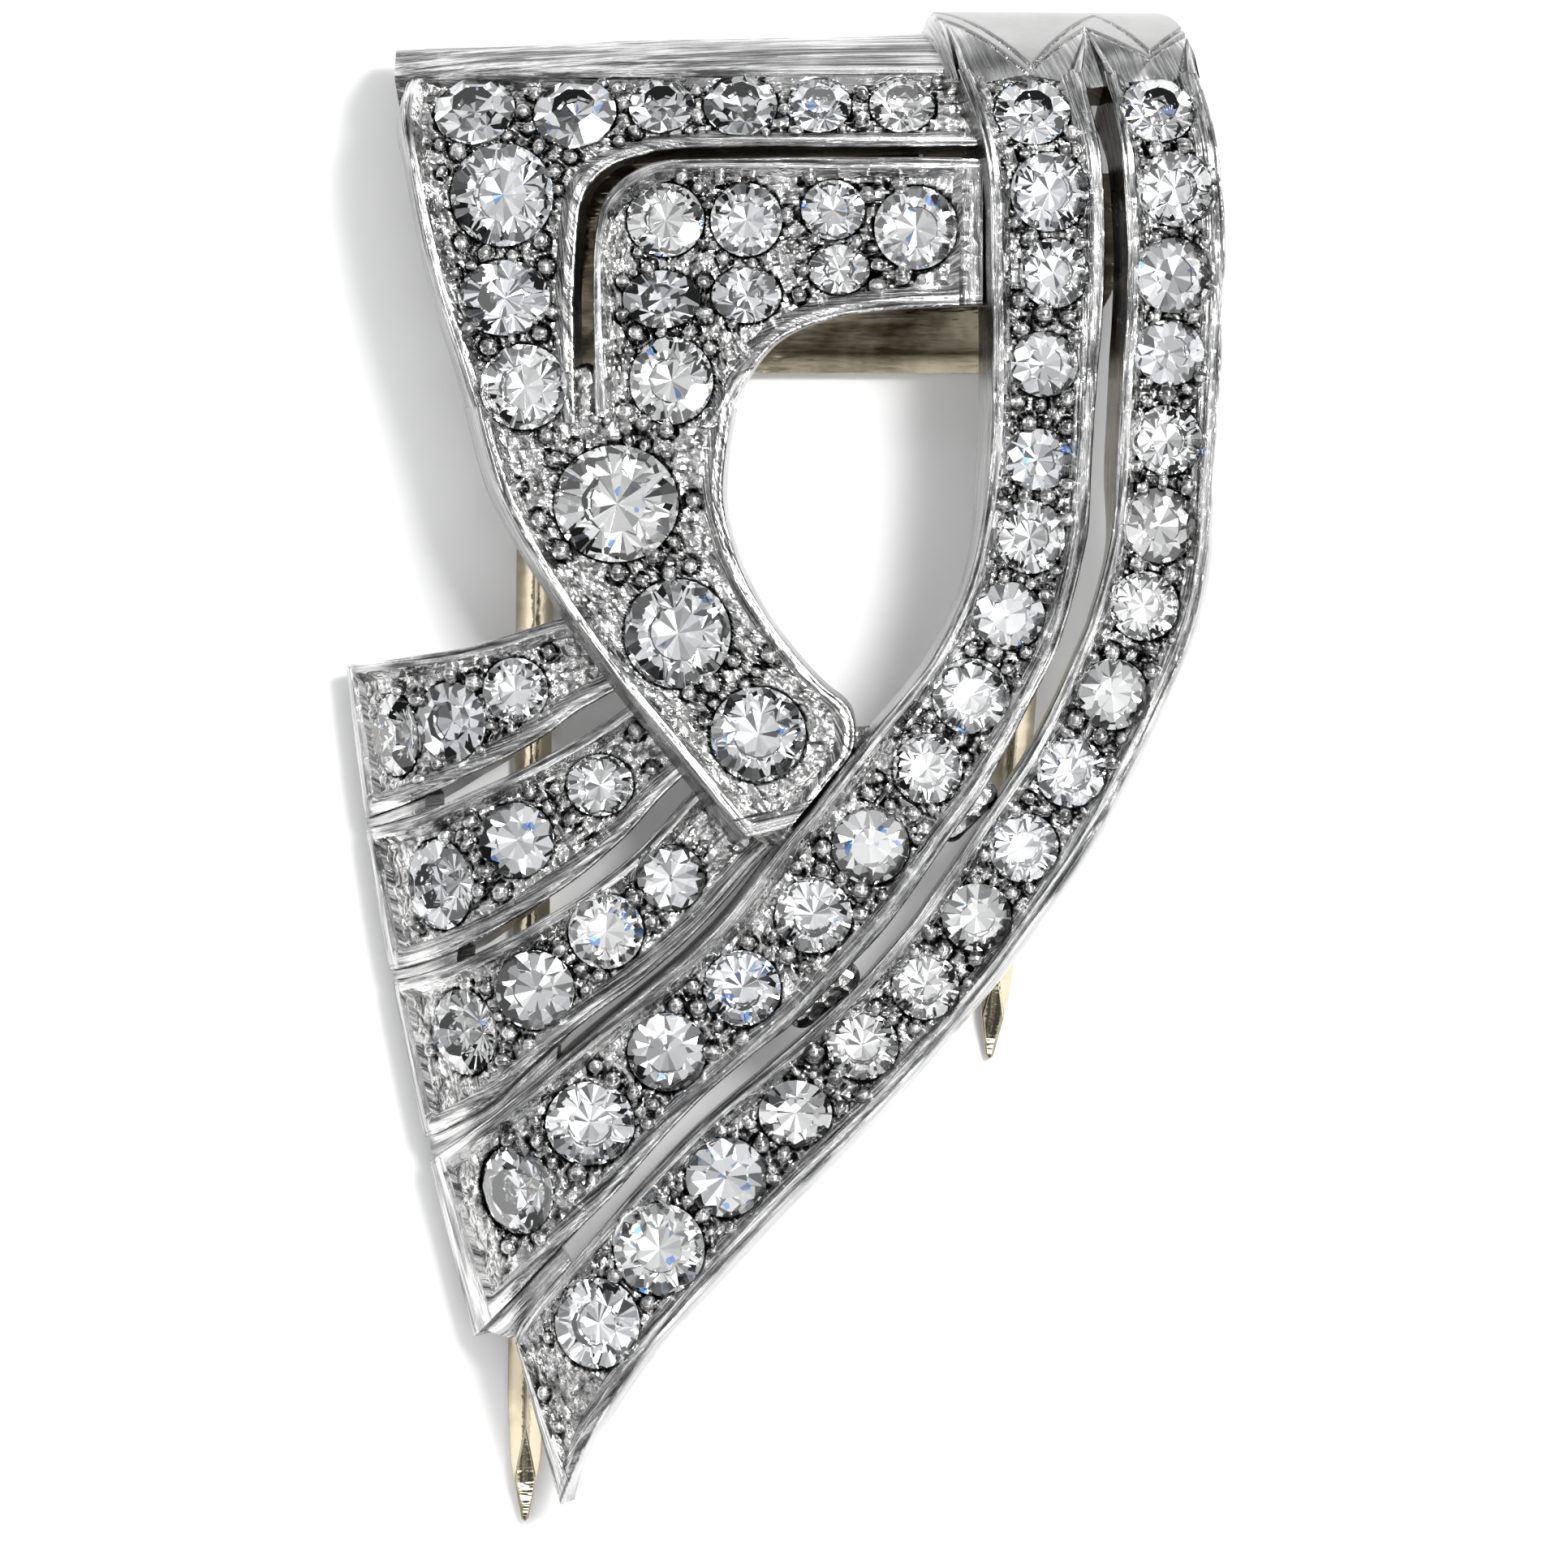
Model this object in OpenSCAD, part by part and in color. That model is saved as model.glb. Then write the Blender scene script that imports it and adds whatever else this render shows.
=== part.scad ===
// Dress clip: a pierced, domed front set with round diamonds, and a hinged two-pronged lever behind.
// Lengths are millimetres. The clip lies on its back: +Z is up out of the front, +Y is its top end.
// x and v are flat coordinates of the sheet: v runs up the clip and on over the rolled top edge.

/* [Front heights] */
// Height of the ribbon pair above the table, at the top end
ribbon_top = 6.9; // [6.5:0.1:7.5]
// Height of the folded panel, at its middle
panel_top = 6.2; // [5.9:0.1:6.4]
// Height of the fan's rays
fan_top = 4.3; // [4.2:0.1:4.6]
// Radius across the clip to which the panel is domed
panel_dome_r = 60; // [50:5:90]
// Radius across the clip to which the ribbons are domed
ribbon_dome_r = 45; // [40:5:90]

/* [Rolled edges] */
// Reach of the panel's rolled top edge, along the clip
panel_roll_y = 3.2; // [3.1:0.05:3.3]
// Drop of the panel's rolled top edge
panel_roll_z = 3.9; // [3.7:0.1:4]
// Reach of the ribbons' rolled top edge, along the clip
ribbon_roll_y = 4.3; // [4.2:0.05:4.35]
// Drop of the ribbons' rolled top edge
ribbon_roll_z = 4.3; // [4:0.1:4.5]
// Radius to which the fan's left ends roll down
fan_roll_r = 4.5; // [4.2:0.1:4.6]

/* [Trays] */
// Width of the polished rim round each tray
rim_w = 0.25; // [0.2:0.05:0.3]
// Width of the bright cut slope inside the rim
slope_w = 0.25; // [0.15:0.05:0.3]
// Depth of the tray's floor below its rim
floor_depth = 0.28; // [0.25:0.01:0.35]
// Thickness of a tray's side wall
wall_t = 0.35; // [0.3:0.05:0.45]

/* [Stones] */
// Crown height of a stone over its diameter
crown_ratio = 0.16; // [0.12:0.01:0.18]
// Depth of a stone below its girdle over its diameter
pavilion_ratio = 0.42; // [0.38:0.01:0.43]
// Table width of a stone over its diameter
table_ratio = 0.56; // [0.5:0.01:0.6]
// Thickness of a stone's girdle
girdle_t = 0.05; // [0.04:0.01:0.08]
// Clearance between a stone and its seat
seat_gap = 0.05; // [0.04:0.01:0.06]

/* [Lever] */
// Thickness of the lever's plate
plate_t = 0.7; // [0.6:0.05:0.8]
// Width of each prong
prong_w = 0.95; // [0.8:0.05:1]
// Height of a prong's ridge
prong_t = 0.95; // [0.9:0.05:1]
// Radius of the hinge pin
pin_r = 0.4; // [0.35:0.05:0.4]
// Outer radius of the hinge barrels
barrel_r = 0.8; // [0.75:0.05:0.8]
// Radial clearance of the pin in the lever's barrel
hinge_gap = 0.04; // [0.03:0.01:0.06]
// Gap between the lever's barrel and the bracket's barrels
end_gap = 0.1; // [0.08:0.01:0.15]

/* [Hidden] */
// Which surface a piece of the front follows
PANEL = 0;
RIBBON = 1;
FAN = 2;

// Where each surface starts to roll over the top edge: start, reach and drop, by surface
ROLL = [[15.1, panel_roll_y, panel_roll_z], [14.9, ribbon_roll_y, ribbon_roll_z], [100, 1, 1]];
// The panel's top edge reaches further up towards the ribbons, by this much over a millimetre
PANEL_SKEW = 0.03;

// Depth of the side walls and of the plate between them, by surface
WALL_H = [1.8, 2.0, 1.4];
PLATE_H = [1.25, 1.25, 1.2];

// The line on which the fan's left ends stand: top, bottom, its x there, and how far it bows out
FAN_Y = [2.62, -14.4];
FAN_X = [-11.4, -8.1];
FAN_BOW = 0.36;
FAN_LEAN = 10.8;
DOME_X = 1;

// Both ribbons come down from their own height to the fan's between these two places
RIBBON_FALL = [-12, 5];
PANEL_FALL = [-4, 6, 0.5];

// Lowest heights of the front, and the two places between which it changes
FOOT_Z = [0.45, 1.3];
FOOT_X = [-8.5, -7.6];

// Trays: each row is one section across the band, as left x, left v, right x, right v.
// The left side is the outer one, on the right hand of someone who walks down the table.
INNER_RIBBON = [
    [4.35, 17.9, 7.5, 17.9], [4.7, 16.8, 7.7, 16.8], [5.0, 15.75, 7.9, 15.75],
    [5.15, 14.4, 8.03, 14.4], [5.18, 13, 8.05, 13], [5.2, 11.6, 8, 11.6],
    [5.22, 10.2, 7.88, 10.2], [5.2, 8.8, 7.78, 8.8], [5.1, 7.4, 7.7, 7.4],
    [4.9, 6, 7.6, 5.9], [4.63, 4.8, 7.25, 4.35], [4.2, 3.75, 6.85, 3.05],
    [3.6, 2.65, 6.2, 1.75], [2.9, 1.75, 5.6, 0.6], [2.15, 0.85, 4.95, -0.6],
    [1.45, -0.05, 4.2, -1.65], [0.75, -0.95, 3.4, -2.8], [0, -1.85, 2.45, -4.1],
    [-0.7, -2.75, 1.35, -5.25], [-1.5, -3.75, 0.2, -6.4], [-2.5, -4.75, -0.95, -7.3],
    [-3.7, -5.75, -2.1, -8.3], [-4.85, -6.65, -3.15, -9.4], [-5.95, -7.6, -4.3, -10.7],
    [-7.05, -8.5, -5.5, -11.9], [-8.1, -9.3, -6.6, -13.05], [-9.08, -10, -7.93, -14.45]
];
OUTER_RIBBON = [
    [8.05, 17.9, 10.4, 17.9], [8.27, 16.8, 10.7, 16.8], [8.45, 15.75, 10.9, 15.75],
    [8.57, 14.4, 11.05, 14.4], [8.63, 13, 11.1, 13], [8.6, 11.6, 11.05, 11.6],
    [8.5, 10.2, 11, 10.2], [8.43, 8.8, 10.9, 8.8], [8.35, 7.4, 10.8, 7.4],
    [8.22, 6, 10.68, 5.7], [7.97, 4.8, 10.45, 4.2], [7.65, 3.75, 10.1, 3.05],
    [7.22, 2.7, 9.6, 1.9], [6.75, 1.65, 9.05, 0.75], [6.2, 0.6, 8.45, -0.45],
    [5.5, -0.5, 7.8, -1.7], [4.75, -1.6, 7.05, -2.85], [3.95, -2.8, 6.2, -4],
    [3, -4.1, 5.2, -5.35], [1.9, -5.35, 4.05, -6.7], [0.65, -6.55, 2.85, -8.05],
    [-0.7, -7.7, 1.5, -9.45], [-2.05, -8.85, 0.15, -10.8], [-3.3, -10.1, -1.25, -12.25],
    [-4.5, -11.45, -2.5, -13.6], [-5.55, -12.65, -3.5, -14.75], [-6.3, -13.5, -4.35, -15.95],
    [-6.75, -14.15, -5.1, -17.2], [-6.88, -14.5, -5.72, -18.7]
];
OUTER_FOLD = [
    [5.2, 18.45, 5.2, 15.72], [2, 18.45, 2, 15.72], [-1.5, 18.45, -1.5, 15.72],
    [-3.8, 18.45, -2.9, 15.68], [-5.8, 18.45, -3.8, 15.46], [-7.8, 18.45, -4.5, 15.15],
    [-9.3, 18.4, -4.92, 14.76], [-9.68, 17.2, -5.12, 14.4], [-9.6, 15.9, -5.22, 14],
    [-9.35, 14.4, -5.3, 13], [-9, 12.8, -5.35, 12], [-8.6, 11.4, -5.35, 11.1],
    [-8.2, 10.2, -5.33, 10.2], [-7.75, 8.75, -5.3, 8.75]
];
INNER_FOLD = [
    [5.2, 15.4, 5.2, 11.7], [3.5, 15.42, 3.3, 11.65], [1.5, 15.42, 1.7, 11.48],
    [-0.5, 15.42, 0.75, 11.25], [-2.25, 15.4, -0.05, 10.9], [-3.1, 15.33, -0.6, 10.4],
    [-3.75, 15.12, -0.95, 9.9], [-4.3, 14.72, -1.2, 9.5], [-4.65, 14.2, -1.33, 9.25],
    [-4.82, 13.3, -1.42, 9.08], [-4.86, 12.2, -1.48, 8.93], [-4.86, 11, -1.54, 8.82],
    [-4.84, 9.8, -1.62, 8.72], [-4.8, 8.9, -1.85, 8.6]
];
LOWER_FOLD = [
    [-7.83, 9.15, -1.33, 9.12], [-7.52, 7.95, -1.52, 7.95], [-7.2, 6.95, -1.58, 6.75],
    [-6.72, 6, -1.3, 5.5], [-6.2, 5.1, -0.88, 4.5], [-5.65, 4.25, -0.35, 3.65],
    [-5, 3.3, 0.25, 2.85], [-4.25, 2.3, 0.95, 2.1], [-3.4, 1.25, 1.65, 1.45],
    [-2.5, 0.15, 1.7, 0.5], [-1.65, -0.9, 1.05, -0.35], [-0.95, -1.75, 0.15, -1.45]
];
RAY_1 = [
    [-5.2, 3.95, -4.3, 2], [-6.2, 3.66, -5.2, 1.5], [-7.2, 3.35, -6.1, 0.85],
    [-8.2, 3.08, -7.1, 0.27], [-9.2, 2.9, -8.2, -0.22], [-10.2, 2.8, -9.35, -0.75],
    [-10.9, 2.72, -10.3, -1.1], [-11.2, 2.68, -10.72, -1.25]
];
RAY_2 = [
    [-3.8, 1.75, -2, 0.3], [-4.7, 1.12, -2.95, -0.5], [-5.8, 0.47, -4.1, -1.75],
    [-6.95, -0.12, -5.4, -2.85], [-8.1, -0.63, -6.8, -3.75], [-9.3, -1.15, -8.2, -4.5],
    [-10.25, -1.42, -9.4, -4.95], [-10.7, -1.52, -10.1, -5.13]
];
RAY_3 = [
    [-1.9, -0.1, -0.2, -1.9], [-2.65, -0.87, -0.85, -2.55], [-3.8, -2.1, -2.15, -4],
    [-5, -3.05, -3.6, -5.3], [-6.2, -3.8, -4.9, -6.25], [-7.4, -4.45, -6.15, -7.25],
    [-8.6, -5, -7.4, -8.4], [-9.55, -5.3, -8.6, -9.1], [-10.02, -5.4, -9.2, -9.38]
];
// The plain rolled pieces at the top end, in the same columns
TOP_CAP = [
    [3.7, 21.5, 9.4, 21.5], [3.85, 20.4, 9.8, 20.4], [4.05, 19.4, 10.1, 19.4],
    [4.2, 18.7, 10.3, 18.7], [4.4, 17.9, 10.45, 17.9], [4.6, 17.15, 10.65, 17.15]
];
TOP_STRIP = [
    [5, 20.6, 5, 18.1], [0, 20.6, 0, 18.1], [-5, 20.6, -5, 18.1], [-9.9, 20.6, -9.9, 18.1]
];

// Webs that join the bands: surface, depth below the rim, radius, then the x and v it runs through
WEBS = [
    [RIBBON, 0.45, 0.36, [[5.05, -0.75], [4.2, -1.6]]],
    [RIBBON, 1.1, 0.4, [[1.5, -5.5], [0.4, -6.4]]],
    [RIBBON, 0.5, 0.32, [[-6.05, -12.7], [-6.65, -13.4], [-7.15, -14.1]]],
    [FAN, 0.45, 0.3, [[-9.75, -1.1], [-10.45, -1.3]]],
    [FAN, 0.45, 0.3, [[-8.7, -4.9], [-9.8, -5.2]]],
    [FAN, 0.45, 0.36, [[-7.2, -8.4], [-8.2, -9.1], [-8.95, -9.6]]],
    [PANEL, 0.45, 0.36, [[-5.08, 9.9], [-5.08, 8.8]]],
    [PANEL, 1.1, 0.45, [[-0.5, -1.5], [0.4, -1.8]]],
    [PANEL, 1.1, 0.45, [[1.3, 0.5], [2.3, 0.6]]]
];

// Stones: surface, x, v, width and length of the girdle
TOP_ROW = [
    [PANEL, -7.9, 17.1, 2.05, 2], [PANEL, -5.35, 16.95, 2.1, 2], [PANEL, -3.15, 17.2, 1.65, 1.65],
    [PANEL, -1.15, 17.2, 1.85, 1.85], [PANEL, 0.85, 17.15, 1.6, 1.6], [PANEL, 2.95, 17.15, 1.65, 1.6]
];
LEFT_ROW = [[PANEL, -7.2, 14.5, 2.6, 2.6], [PANEL, -7.15, 11.9, 2.35, 1.9], [PANEL, -6.65, 9.65, 2.2, 2.15]];
INNER_ROWS = [
    [PANEL, -3.05, 13.85, 1.95, 1.85], [PANEL, -1, 13.85, 1.8, 1.85], [PANEL, 1.2, 14.1, 1.6, 1.5],
    [PANEL, 3.3, 13.65, 2.1, 2.1], [PANEL, -3.15, 11.85, 1.95, 1.45], [PANEL, -1, 11.95, 1.75, 1.4],
    [PANEL, 1.35, 12.6, 1.55, 1.25], [PANEL, -2.9, 9.8, 2.1, 2.2]
];
BAND_ROW = [[PANEL, -4.3, 6.7, 3.15, 2.95], [PANEL, -2.75, 3.4, 2.7, 2.75], [PANEL, -0.7, 0.85, 2.4, 2.4]];
RAY_ROWS = [
    [[FAN, -10.15, 0.85, 1.9, 2.1], [FAN, -8.6, 1.2, 1.9, 2], [FAN, -6.85, 2, 1.65, 1.65]],
    [[FAN, -8.95, -2.95, 2.1, 2.3], [FAN, -6.85, -1.8, 1.9, 1.9], [FAN, -4.7, -0.4, 1.7, 1.55]],
    [[FAN, -8.35, -6.7, 2.05, 2.2], [FAN, -6.4, -5.6, 2, 2], [FAN, -4.55, -4.1, 1.9, 1.9],
     [FAN, -2.9, -2.75, 1.7, 1.65]]
];
INNER_STRING = [
    [RIBBON, 6.25, 16.75, 1.9, 1.8], [RIBBON, 6.7, 14.55, 2, 2], [RIBBON, 6.8, 12.5, 1.75, 1.75],
    [RIBBON, 6.55, 10.2, 1.7, 1.65], [RIBBON, 6.4, 7.8, 1.7, 1.55], [RIBBON, 6.2, 5.85, 1.75, 1.85],
    [RIBBON, 5.65, 3.85, 1.8, 1.7], [RIBBON, 4.7, 1.8, 1.95, 1.9], [RIBBON, 3.6, -0.05, 1.75, 1.8],
    [RIBBON, 2.15, -2, 1.95, 1.95], [RIBBON, 0.7, -3.75, 1.95, 1.95], [RIBBON, -1.1, -5.6, 1.95, 1.95],
    [RIBBON, -3, -7.2, 2, 2], [RIBBON, -4.95, -9, 2.25, 2.15], [RIBBON, -6.95, -10.7, 2.1, 2.3]
];
OUTER_STRING = [
    [RIBBON, 9.45, 16.85, 1.85, 1.8], [RIBBON, 9.9, 14.65, 1.9, 1.9], [RIBBON, 9.85, 12.45, 1.9, 1.9],
    [RIBBON, 9.75, 10.5, 1.75, 1.65], [RIBBON, 9.7, 8.3, 1.75, 1.75], [RIBBON, 9.5, 6.15, 1.8, 1.9],
    [RIBBON, 9.1, 4.1, 1.75, 1.75], [RIBBON, 8.3, 1.85, 1.75, 1.8], [RIBBON, 7.25, -0.15, 1.75, 1.75],
    [RIBBON, 6.05, -2.05, 1.75, 1.75], [RIBBON, 4.85, -3.8, 1.75, 1.75], [RIBBON, 3.55, -5.55, 1.7, 1.7],
    [RIBBON, 1.95, -7.05, 1.8, 1.75], [RIBBON, 0.25, -8.75, 1.85, 1.7], [RIBBON, -1.5, -10.35, 2.05, 2],
    [RIBBON, -3.2, -12.15, 2.3, 2.35], [RIBBON, -4.85, -14.05, 2.2, 2.3]
];
SINGLE_STONES = concat(TOP_ROW, LEFT_ROW, INNER_ROWS, BAND_ROW, RAY_ROWS[0], RAY_ROWS[1], RAY_ROWS[2]);

// Lever: places of the hinge, the plate and the prongs
HINGE_Y = 16.3;
HINGE_Z = 1.1;
PLATE_Y = [10.1, 15.2];
PLATE_LEFT = -7.2;
// The plate's right side comes in towards the prong, from the top down
PLATE_RIGHT = [[8.9, 15.2], [8.9, 13.6], [8.3, 12.1], [7.6, 10.9], [7.1, 10.1]];
BARREL_X = [-5, 3.4];
EAR_X = [-7, 5.4];
PRONG_L = [-6.65, -19.2];
PRONG_R = [5.2, -7.4];
// How far each prong leans to the right on its way up from its tip, degrees
LEAN_L = 0.6;
LEAN_R = 4.5;
BRACKET_Y = [15.94, 16.54];
BRACKET_Z = [2.35, 3];

// Shift that brings the middle of the whole clip over the origin
CENTRE_SHIFT = [0.05, 0, 0];

// Eased step from 0 at a to 1 at b
function ease(a, b, x) =
    let(t = min(max((x - a) / (b - a), 0), 1))
    t * t * (3 - 2 * t);

// Left end of the fan at height y
function fan_edge(y) =
    let(q = (FAN_Y[0] - y) / (FAN_Y[0] - FAN_Y[1]))
    FAN_X[0] + (FAN_X[1] - FAN_X[0]) * q - 4 * FAN_BOW * q * (1 - q);

// How far the fan has rolled down at a place
function fan_drop(x, y) =
    let(w = max(0.01, (x - fan_edge(y)) * cos(FAN_LEAN)), u = 1 - w / fan_roll_r)
    u <= 0 ? 0 : fan_roll_r * (1 - sqrt(1 - u * u));

// Height of a surface's rim before the top edge rolls over
function rim_z(kind, x, y) =
    kind == PANEL ? panel_top - pow(x - DOME_X, 2) / (2 * panel_dome_r)
                    - PANEL_FALL[2] * (1 - ease(PANEL_FALL[0], PANEL_FALL[1], y))
    : kind == RIBBON ? fan_top + (ribbon_top - fan_top) * ease(RIBBON_FALL[0], RIBBON_FALL[1], y)
                       - pow(max(x - DOME_X, 0), 2) / (2 * ribbon_dome_r) - fan_drop(x, y)
    : fan_top - fan_drop(x, y);

// A flat place on a surface, in space
function place(kind, x, v) =
    let(r = ROLL[kind], start = r[0] + (kind == PANEL ? PANEL_SKEW * (x + 9.8) : 0),
        over = v - start, turn = over / ((r[1] + r[2]) / 2) * 180 / PI)
    over <= 0 ? [x, v, rim_z(kind, x, v)]
    : [x, start + r[1] * sin(turn), rim_z(kind, x, start) - r[2] * (1 - cos(turn))];

// Outward normal of a surface
function facing(kind, x, v) =
    let(e = 0.02,
        across = place(kind, x + e, v) - place(kind, x - e, v),
        along = place(kind, x, v + e) - place(kind, x, v - e),
        n = cross(across, along))
    n / norm(n);

// Direction in which the side walls stand: the ribbons' walls stay nearly upright where they roll
function wall_way(kind, x, v) =
    let(n = facing(kind, x, v), d = kind == RIBBON && v < 6 ? [n[0] * 0.15, n[1] * 0.15, n[2]] : n)
    d / norm(d);

// Smooth row between two rows of a table
function between(p0, p1, p2, p3, t) =
    0.5 * (2 * p1 + (p2 - p0) * t + (2 * p0 - 5 * p1 + 4 * p2 - p3) * t * t
           + (3 * p1 - p0 - 3 * p2 + p3) * t * t * t);
function row_at(rows, s) =
    let(n = len(rows), u = s * (n - 1), i = min(floor(u), n - 2))
    between(rows[max(i - 1, 0)], rows[i], rows[i + 1], rows[min(i + 2, n - 1)], u - i);

// Length of a band down its middle
function total(list, i = 0) = i >= len(list) ? 0 : list[i] + total(list, i + 1);
function band_length(rows) =
    total([for (i = [1:len(rows) - 1])
        norm([rows[i][0] + rows[i][2] - rows[i - 1][0] - rows[i - 1][2],
              rows[i][1] + rows[i][3] - rows[i - 1][1] - rows[i - 1][3]]) / 2]);

// Section of a tray, as distance in from its left side and height over its rim.
// spread holds how far the left and right walls stand out at their feet, depth the floor's.
function section(kind, w, spread, depth) =
    let(lip = min(rim_w, w / 4), fl = min(rim_w + slope_w, w / 2 - 0.05), wt = min(wall_t, w / 3),
        h = WALL_H[kind], p = PLATE_H[kind])
    [[-spread[0], -h], [0, 0], [lip, 0], [fl, -depth], [w - fl, -depth], [w - lip, 0], [w, 0],
     [w + spread[1], -h], [w + spread[1] - wt, -h], [w - wt, -p], [wt, -p], [wt - spread[0], -h]];

// Lowest height the front comes down to: over the table on the left, over the prong further right
function foot_z(x) = FOOT_Z[0] + (FOOT_Z[1] - FOOT_Z[0]) * ease(FOOT_X[0], FOOT_X[1], x);

// One section placed in space
function section_points(kind, row, spread, depth, lift) =
    let(a = [row[0], row[1]], b = [row[2], row[3]], w = norm(b - a), d = (b - a) / w)
    [for (q = section(kind, w, spread, depth))
        let(f = a + d * min(max(q[0], 0), w), out = q[0] < 0 ? q[0] : max(q[0] - w, 0),
            p = place(kind, f[0], f[1]) + (q[1] + lift) * wall_way(kind, f[0], f[1]) + out * [d[0], d[1], 0])
        [p[0], p[1], max(p[2], foot_z(p[0]))]];

// Triangles that close the ends of a tray, as point numbers round its section
CAP = [[0, 1, 10], [0, 10, 11], [1, 2, 3], [1, 3, 10], [3, 4, 9], [3, 9, 10],
       [4, 5, 6], [4, 6, 9], [6, 7, 8], [6, 8, 9]];

// A tray swept through the rows of its table; ends tell which ends have a rim, lift raises it all
module tray(kind, rows, steps, spread, ends, lift = 0, plain = false) {
    len_mm = band_length(rows);
    lip = rim_w / len_mm;
    foot = (rim_w + slope_w) / len_mm;
    stations = concat([0], ends[0] ? [lip, foot] : [],
                      [for (i = [1:steps - 1]) i / steps],
                      ends[1] ? [1 - foot, 1 - lip] : [], [1]);
    rings = [for (s = stations)
        let(near = min(ends[0] ? s : 1, ends[1] ? 1 - s : 1),
            open = plain ? 0 : min(max((near - lip) / (foot - lip), 0), 1))
        section_points(kind, row_at(rows, s), spread, floor_depth * open, lift)];
    n = len(rings[0]);
    last = (len(rings) - 1) * n;
    polyhedron(
        points = [for (ring = rings) for (p = ring) p],
        faces = concat(
            [for (t = CAP) [t[2], t[1], t[0]]],
            [for (t = CAP) [t[0] + last, t[1] + last, t[2] + last]],
            [for (i = [0:len(rings) - 2]) for (j = [0:n - 1])
                let(a = i * n + j, b = i * n + (j + 1) % n)
                [a, b, b + n]],
            [for (i = [0:len(rings) - 2]) for (j = [0:n - 1])
                let(a = i * n + j, b = i * n + (j + 1) % n)
                [a, b + n, a + n]]),
        convexity = 10);
}

// Moves what is drawn at the origin to a place on a surface, standing along its normal
module on_surface(kind, x, v, depth) {
    n = facing(kind, x, v);
    p = place(kind, x, v) - depth * n;
    a = cross([0, 1, 0], n);
    u = a / norm(a);
    w = cross(n, u);
    multmatrix([[u[0], w[0], n[0], p[0]], [u[1], w[1], n[1], p[1]], [u[2], w[2], n[2], p[2]]])
        children();
}

// The hole under one stone, open behind, with as many sides as its girdle asks for
module seat(stone, grow) {
    r = (stone[3] + stone[4]) / 4;
    wide = r * grow + seat_gap + 0.02;
    on_surface(stone[0], stone[1], stone[2], floor_depth + girdle_t)
        scale([stone[3] / (2 * r), stone[4] / (2 * r), 1])
            rotate([0, 0, grow > 1 ? 22.5 : 0])
                rotate_extrude($fn = 8)
                    polygon([[0, -1.6], [r / 2, -1.6], [wide, 0], [wide, 0.6], [0, 0.6]]);
}

// Places on the web between two bands
module web(kind, depth, r, run) {
    for (i = [1:len(run) - 1])
        hull() {
            on_surface(kind, run[i - 1][0], run[i - 1][1], depth) sphere(r, $fn = 6);
            on_surface(kind, run[i][0], run[i][1], depth) sphere(r, $fn = 6);
        }
}

// A cut stone: table, crown facets, girdle and pavilion, its girdle's foot at the origin
module cut_stone(stone, sides) {
    w = stone[3] / 2;
    l = stone[4] / 2;
    r = (w + l) / 2;
    turn = 360 / sides;
    half = sides == 16 ? 2 : 1;
    table = [for (i = [0:7]) let(a = 45 * i) [table_ratio * w * cos(a), table_ratio * l * sin(a),
                                               girdle_t + 2 * crown_ratio * r]];
    upper = [for (i = [0:sides - 1]) [w * cos(turn * i), l * sin(turn * i), girdle_t]];
    lower = [for (p = upper) [p[0], p[1], 0]];
    culet = 8 + 2 * sides;
    on_surface(stone[0], stone[1], stone[2], floor_depth + girdle_t)
        polyhedron(
            points = concat(table, upper, lower, [[0, 0, -2 * pavilion_ratio * r]]),
            faces = concat(
                [[for (i = [7:-1:0]) i]],
                [for (i = [0:7]) [i, (i + 1) % 8, 8 + (half * i + 1) % sides]],
                sides == 16 ? [for (i = [0:7]) [i, 8 + 2 * i + 1, 8 + 2 * i]]
                : [for (i = [0:7]) [i, 8 + (i + 1) % 8, 8 + i]],
                sides == 16 ? [for (i = [0:7]) [i, 8 + 2 * i, 8 + (2 * i + 15) % 16]] : [],
                [for (i = [0:sides - 1]) let(j = (i + 1) % sides)
                    [8 + i, 8 + j, 8 + sides + j, 8 + sides + i]],
                [for (i = [0:sides - 1]) let(j = (i + 1) % sides)
                    [8 + sides + i, 8 + sides + j, culet]]),
            convexity = 4);
}

module stone(stone) {
    color("aliceblue") cut_stone(stone, 16);
}

module stone_string(stones) {
    color("aliceblue") for (s = stones) cut_stone(s, 8);
}

module front_frame() {
    color("gainsboro")
        difference() {
            union() {
                tray(RIBBON, INNER_RIBBON, 28, [0.15, 0], [true, true]);
                tray(RIBBON, OUTER_RIBBON, 28, [0, 0.25], [true, true], -0.03);
                tray(PANEL, OUTER_FOLD, 20, [0.45, 0], [false, false], -0.04);
                tray(PANEL, INNER_FOLD, 16, [0, 0], [false, false], -0.06);
                tray(PANEL, LOWER_FOLD, 11, [0.55, 0.05], [false, true]);
                tray(FAN, RAY_1, 8, [0, 0], [false, true]);
                tray(FAN, RAY_2, 8, [0, 0], [false, true]);
                tray(FAN, RAY_3, 9, [0, 0], [false, true]);
                tray(RIBBON, TOP_CAP, 6, [0.65, 0.2], [false, false], 0.04, plain = true);
                tray(PANEL, TOP_STRIP, 3, [0, 0], [false, false], 0.03, plain = true);
                for (w = WEBS) web(w[0], w[1], w[2], w[3]);
            }
            for (s = SINGLE_STONES) seat(s, 1 / cos(22.5));
            for (s = concat(INNER_STRING, OUTER_STRING)) seat(s, 1);
        }
}

module barrel(from, to, bore) {
    translate([from, HINGE_Y, HINGE_Z])
        rotate([0, 90, 0])
            difference() {
                cylinder(r = barrel_r, h = to - from, $fn = 48);
                translate([0, 0, -1]) cylinder(r = bore, h = to - from + 2, $fn = 48);
            }
}

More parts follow.
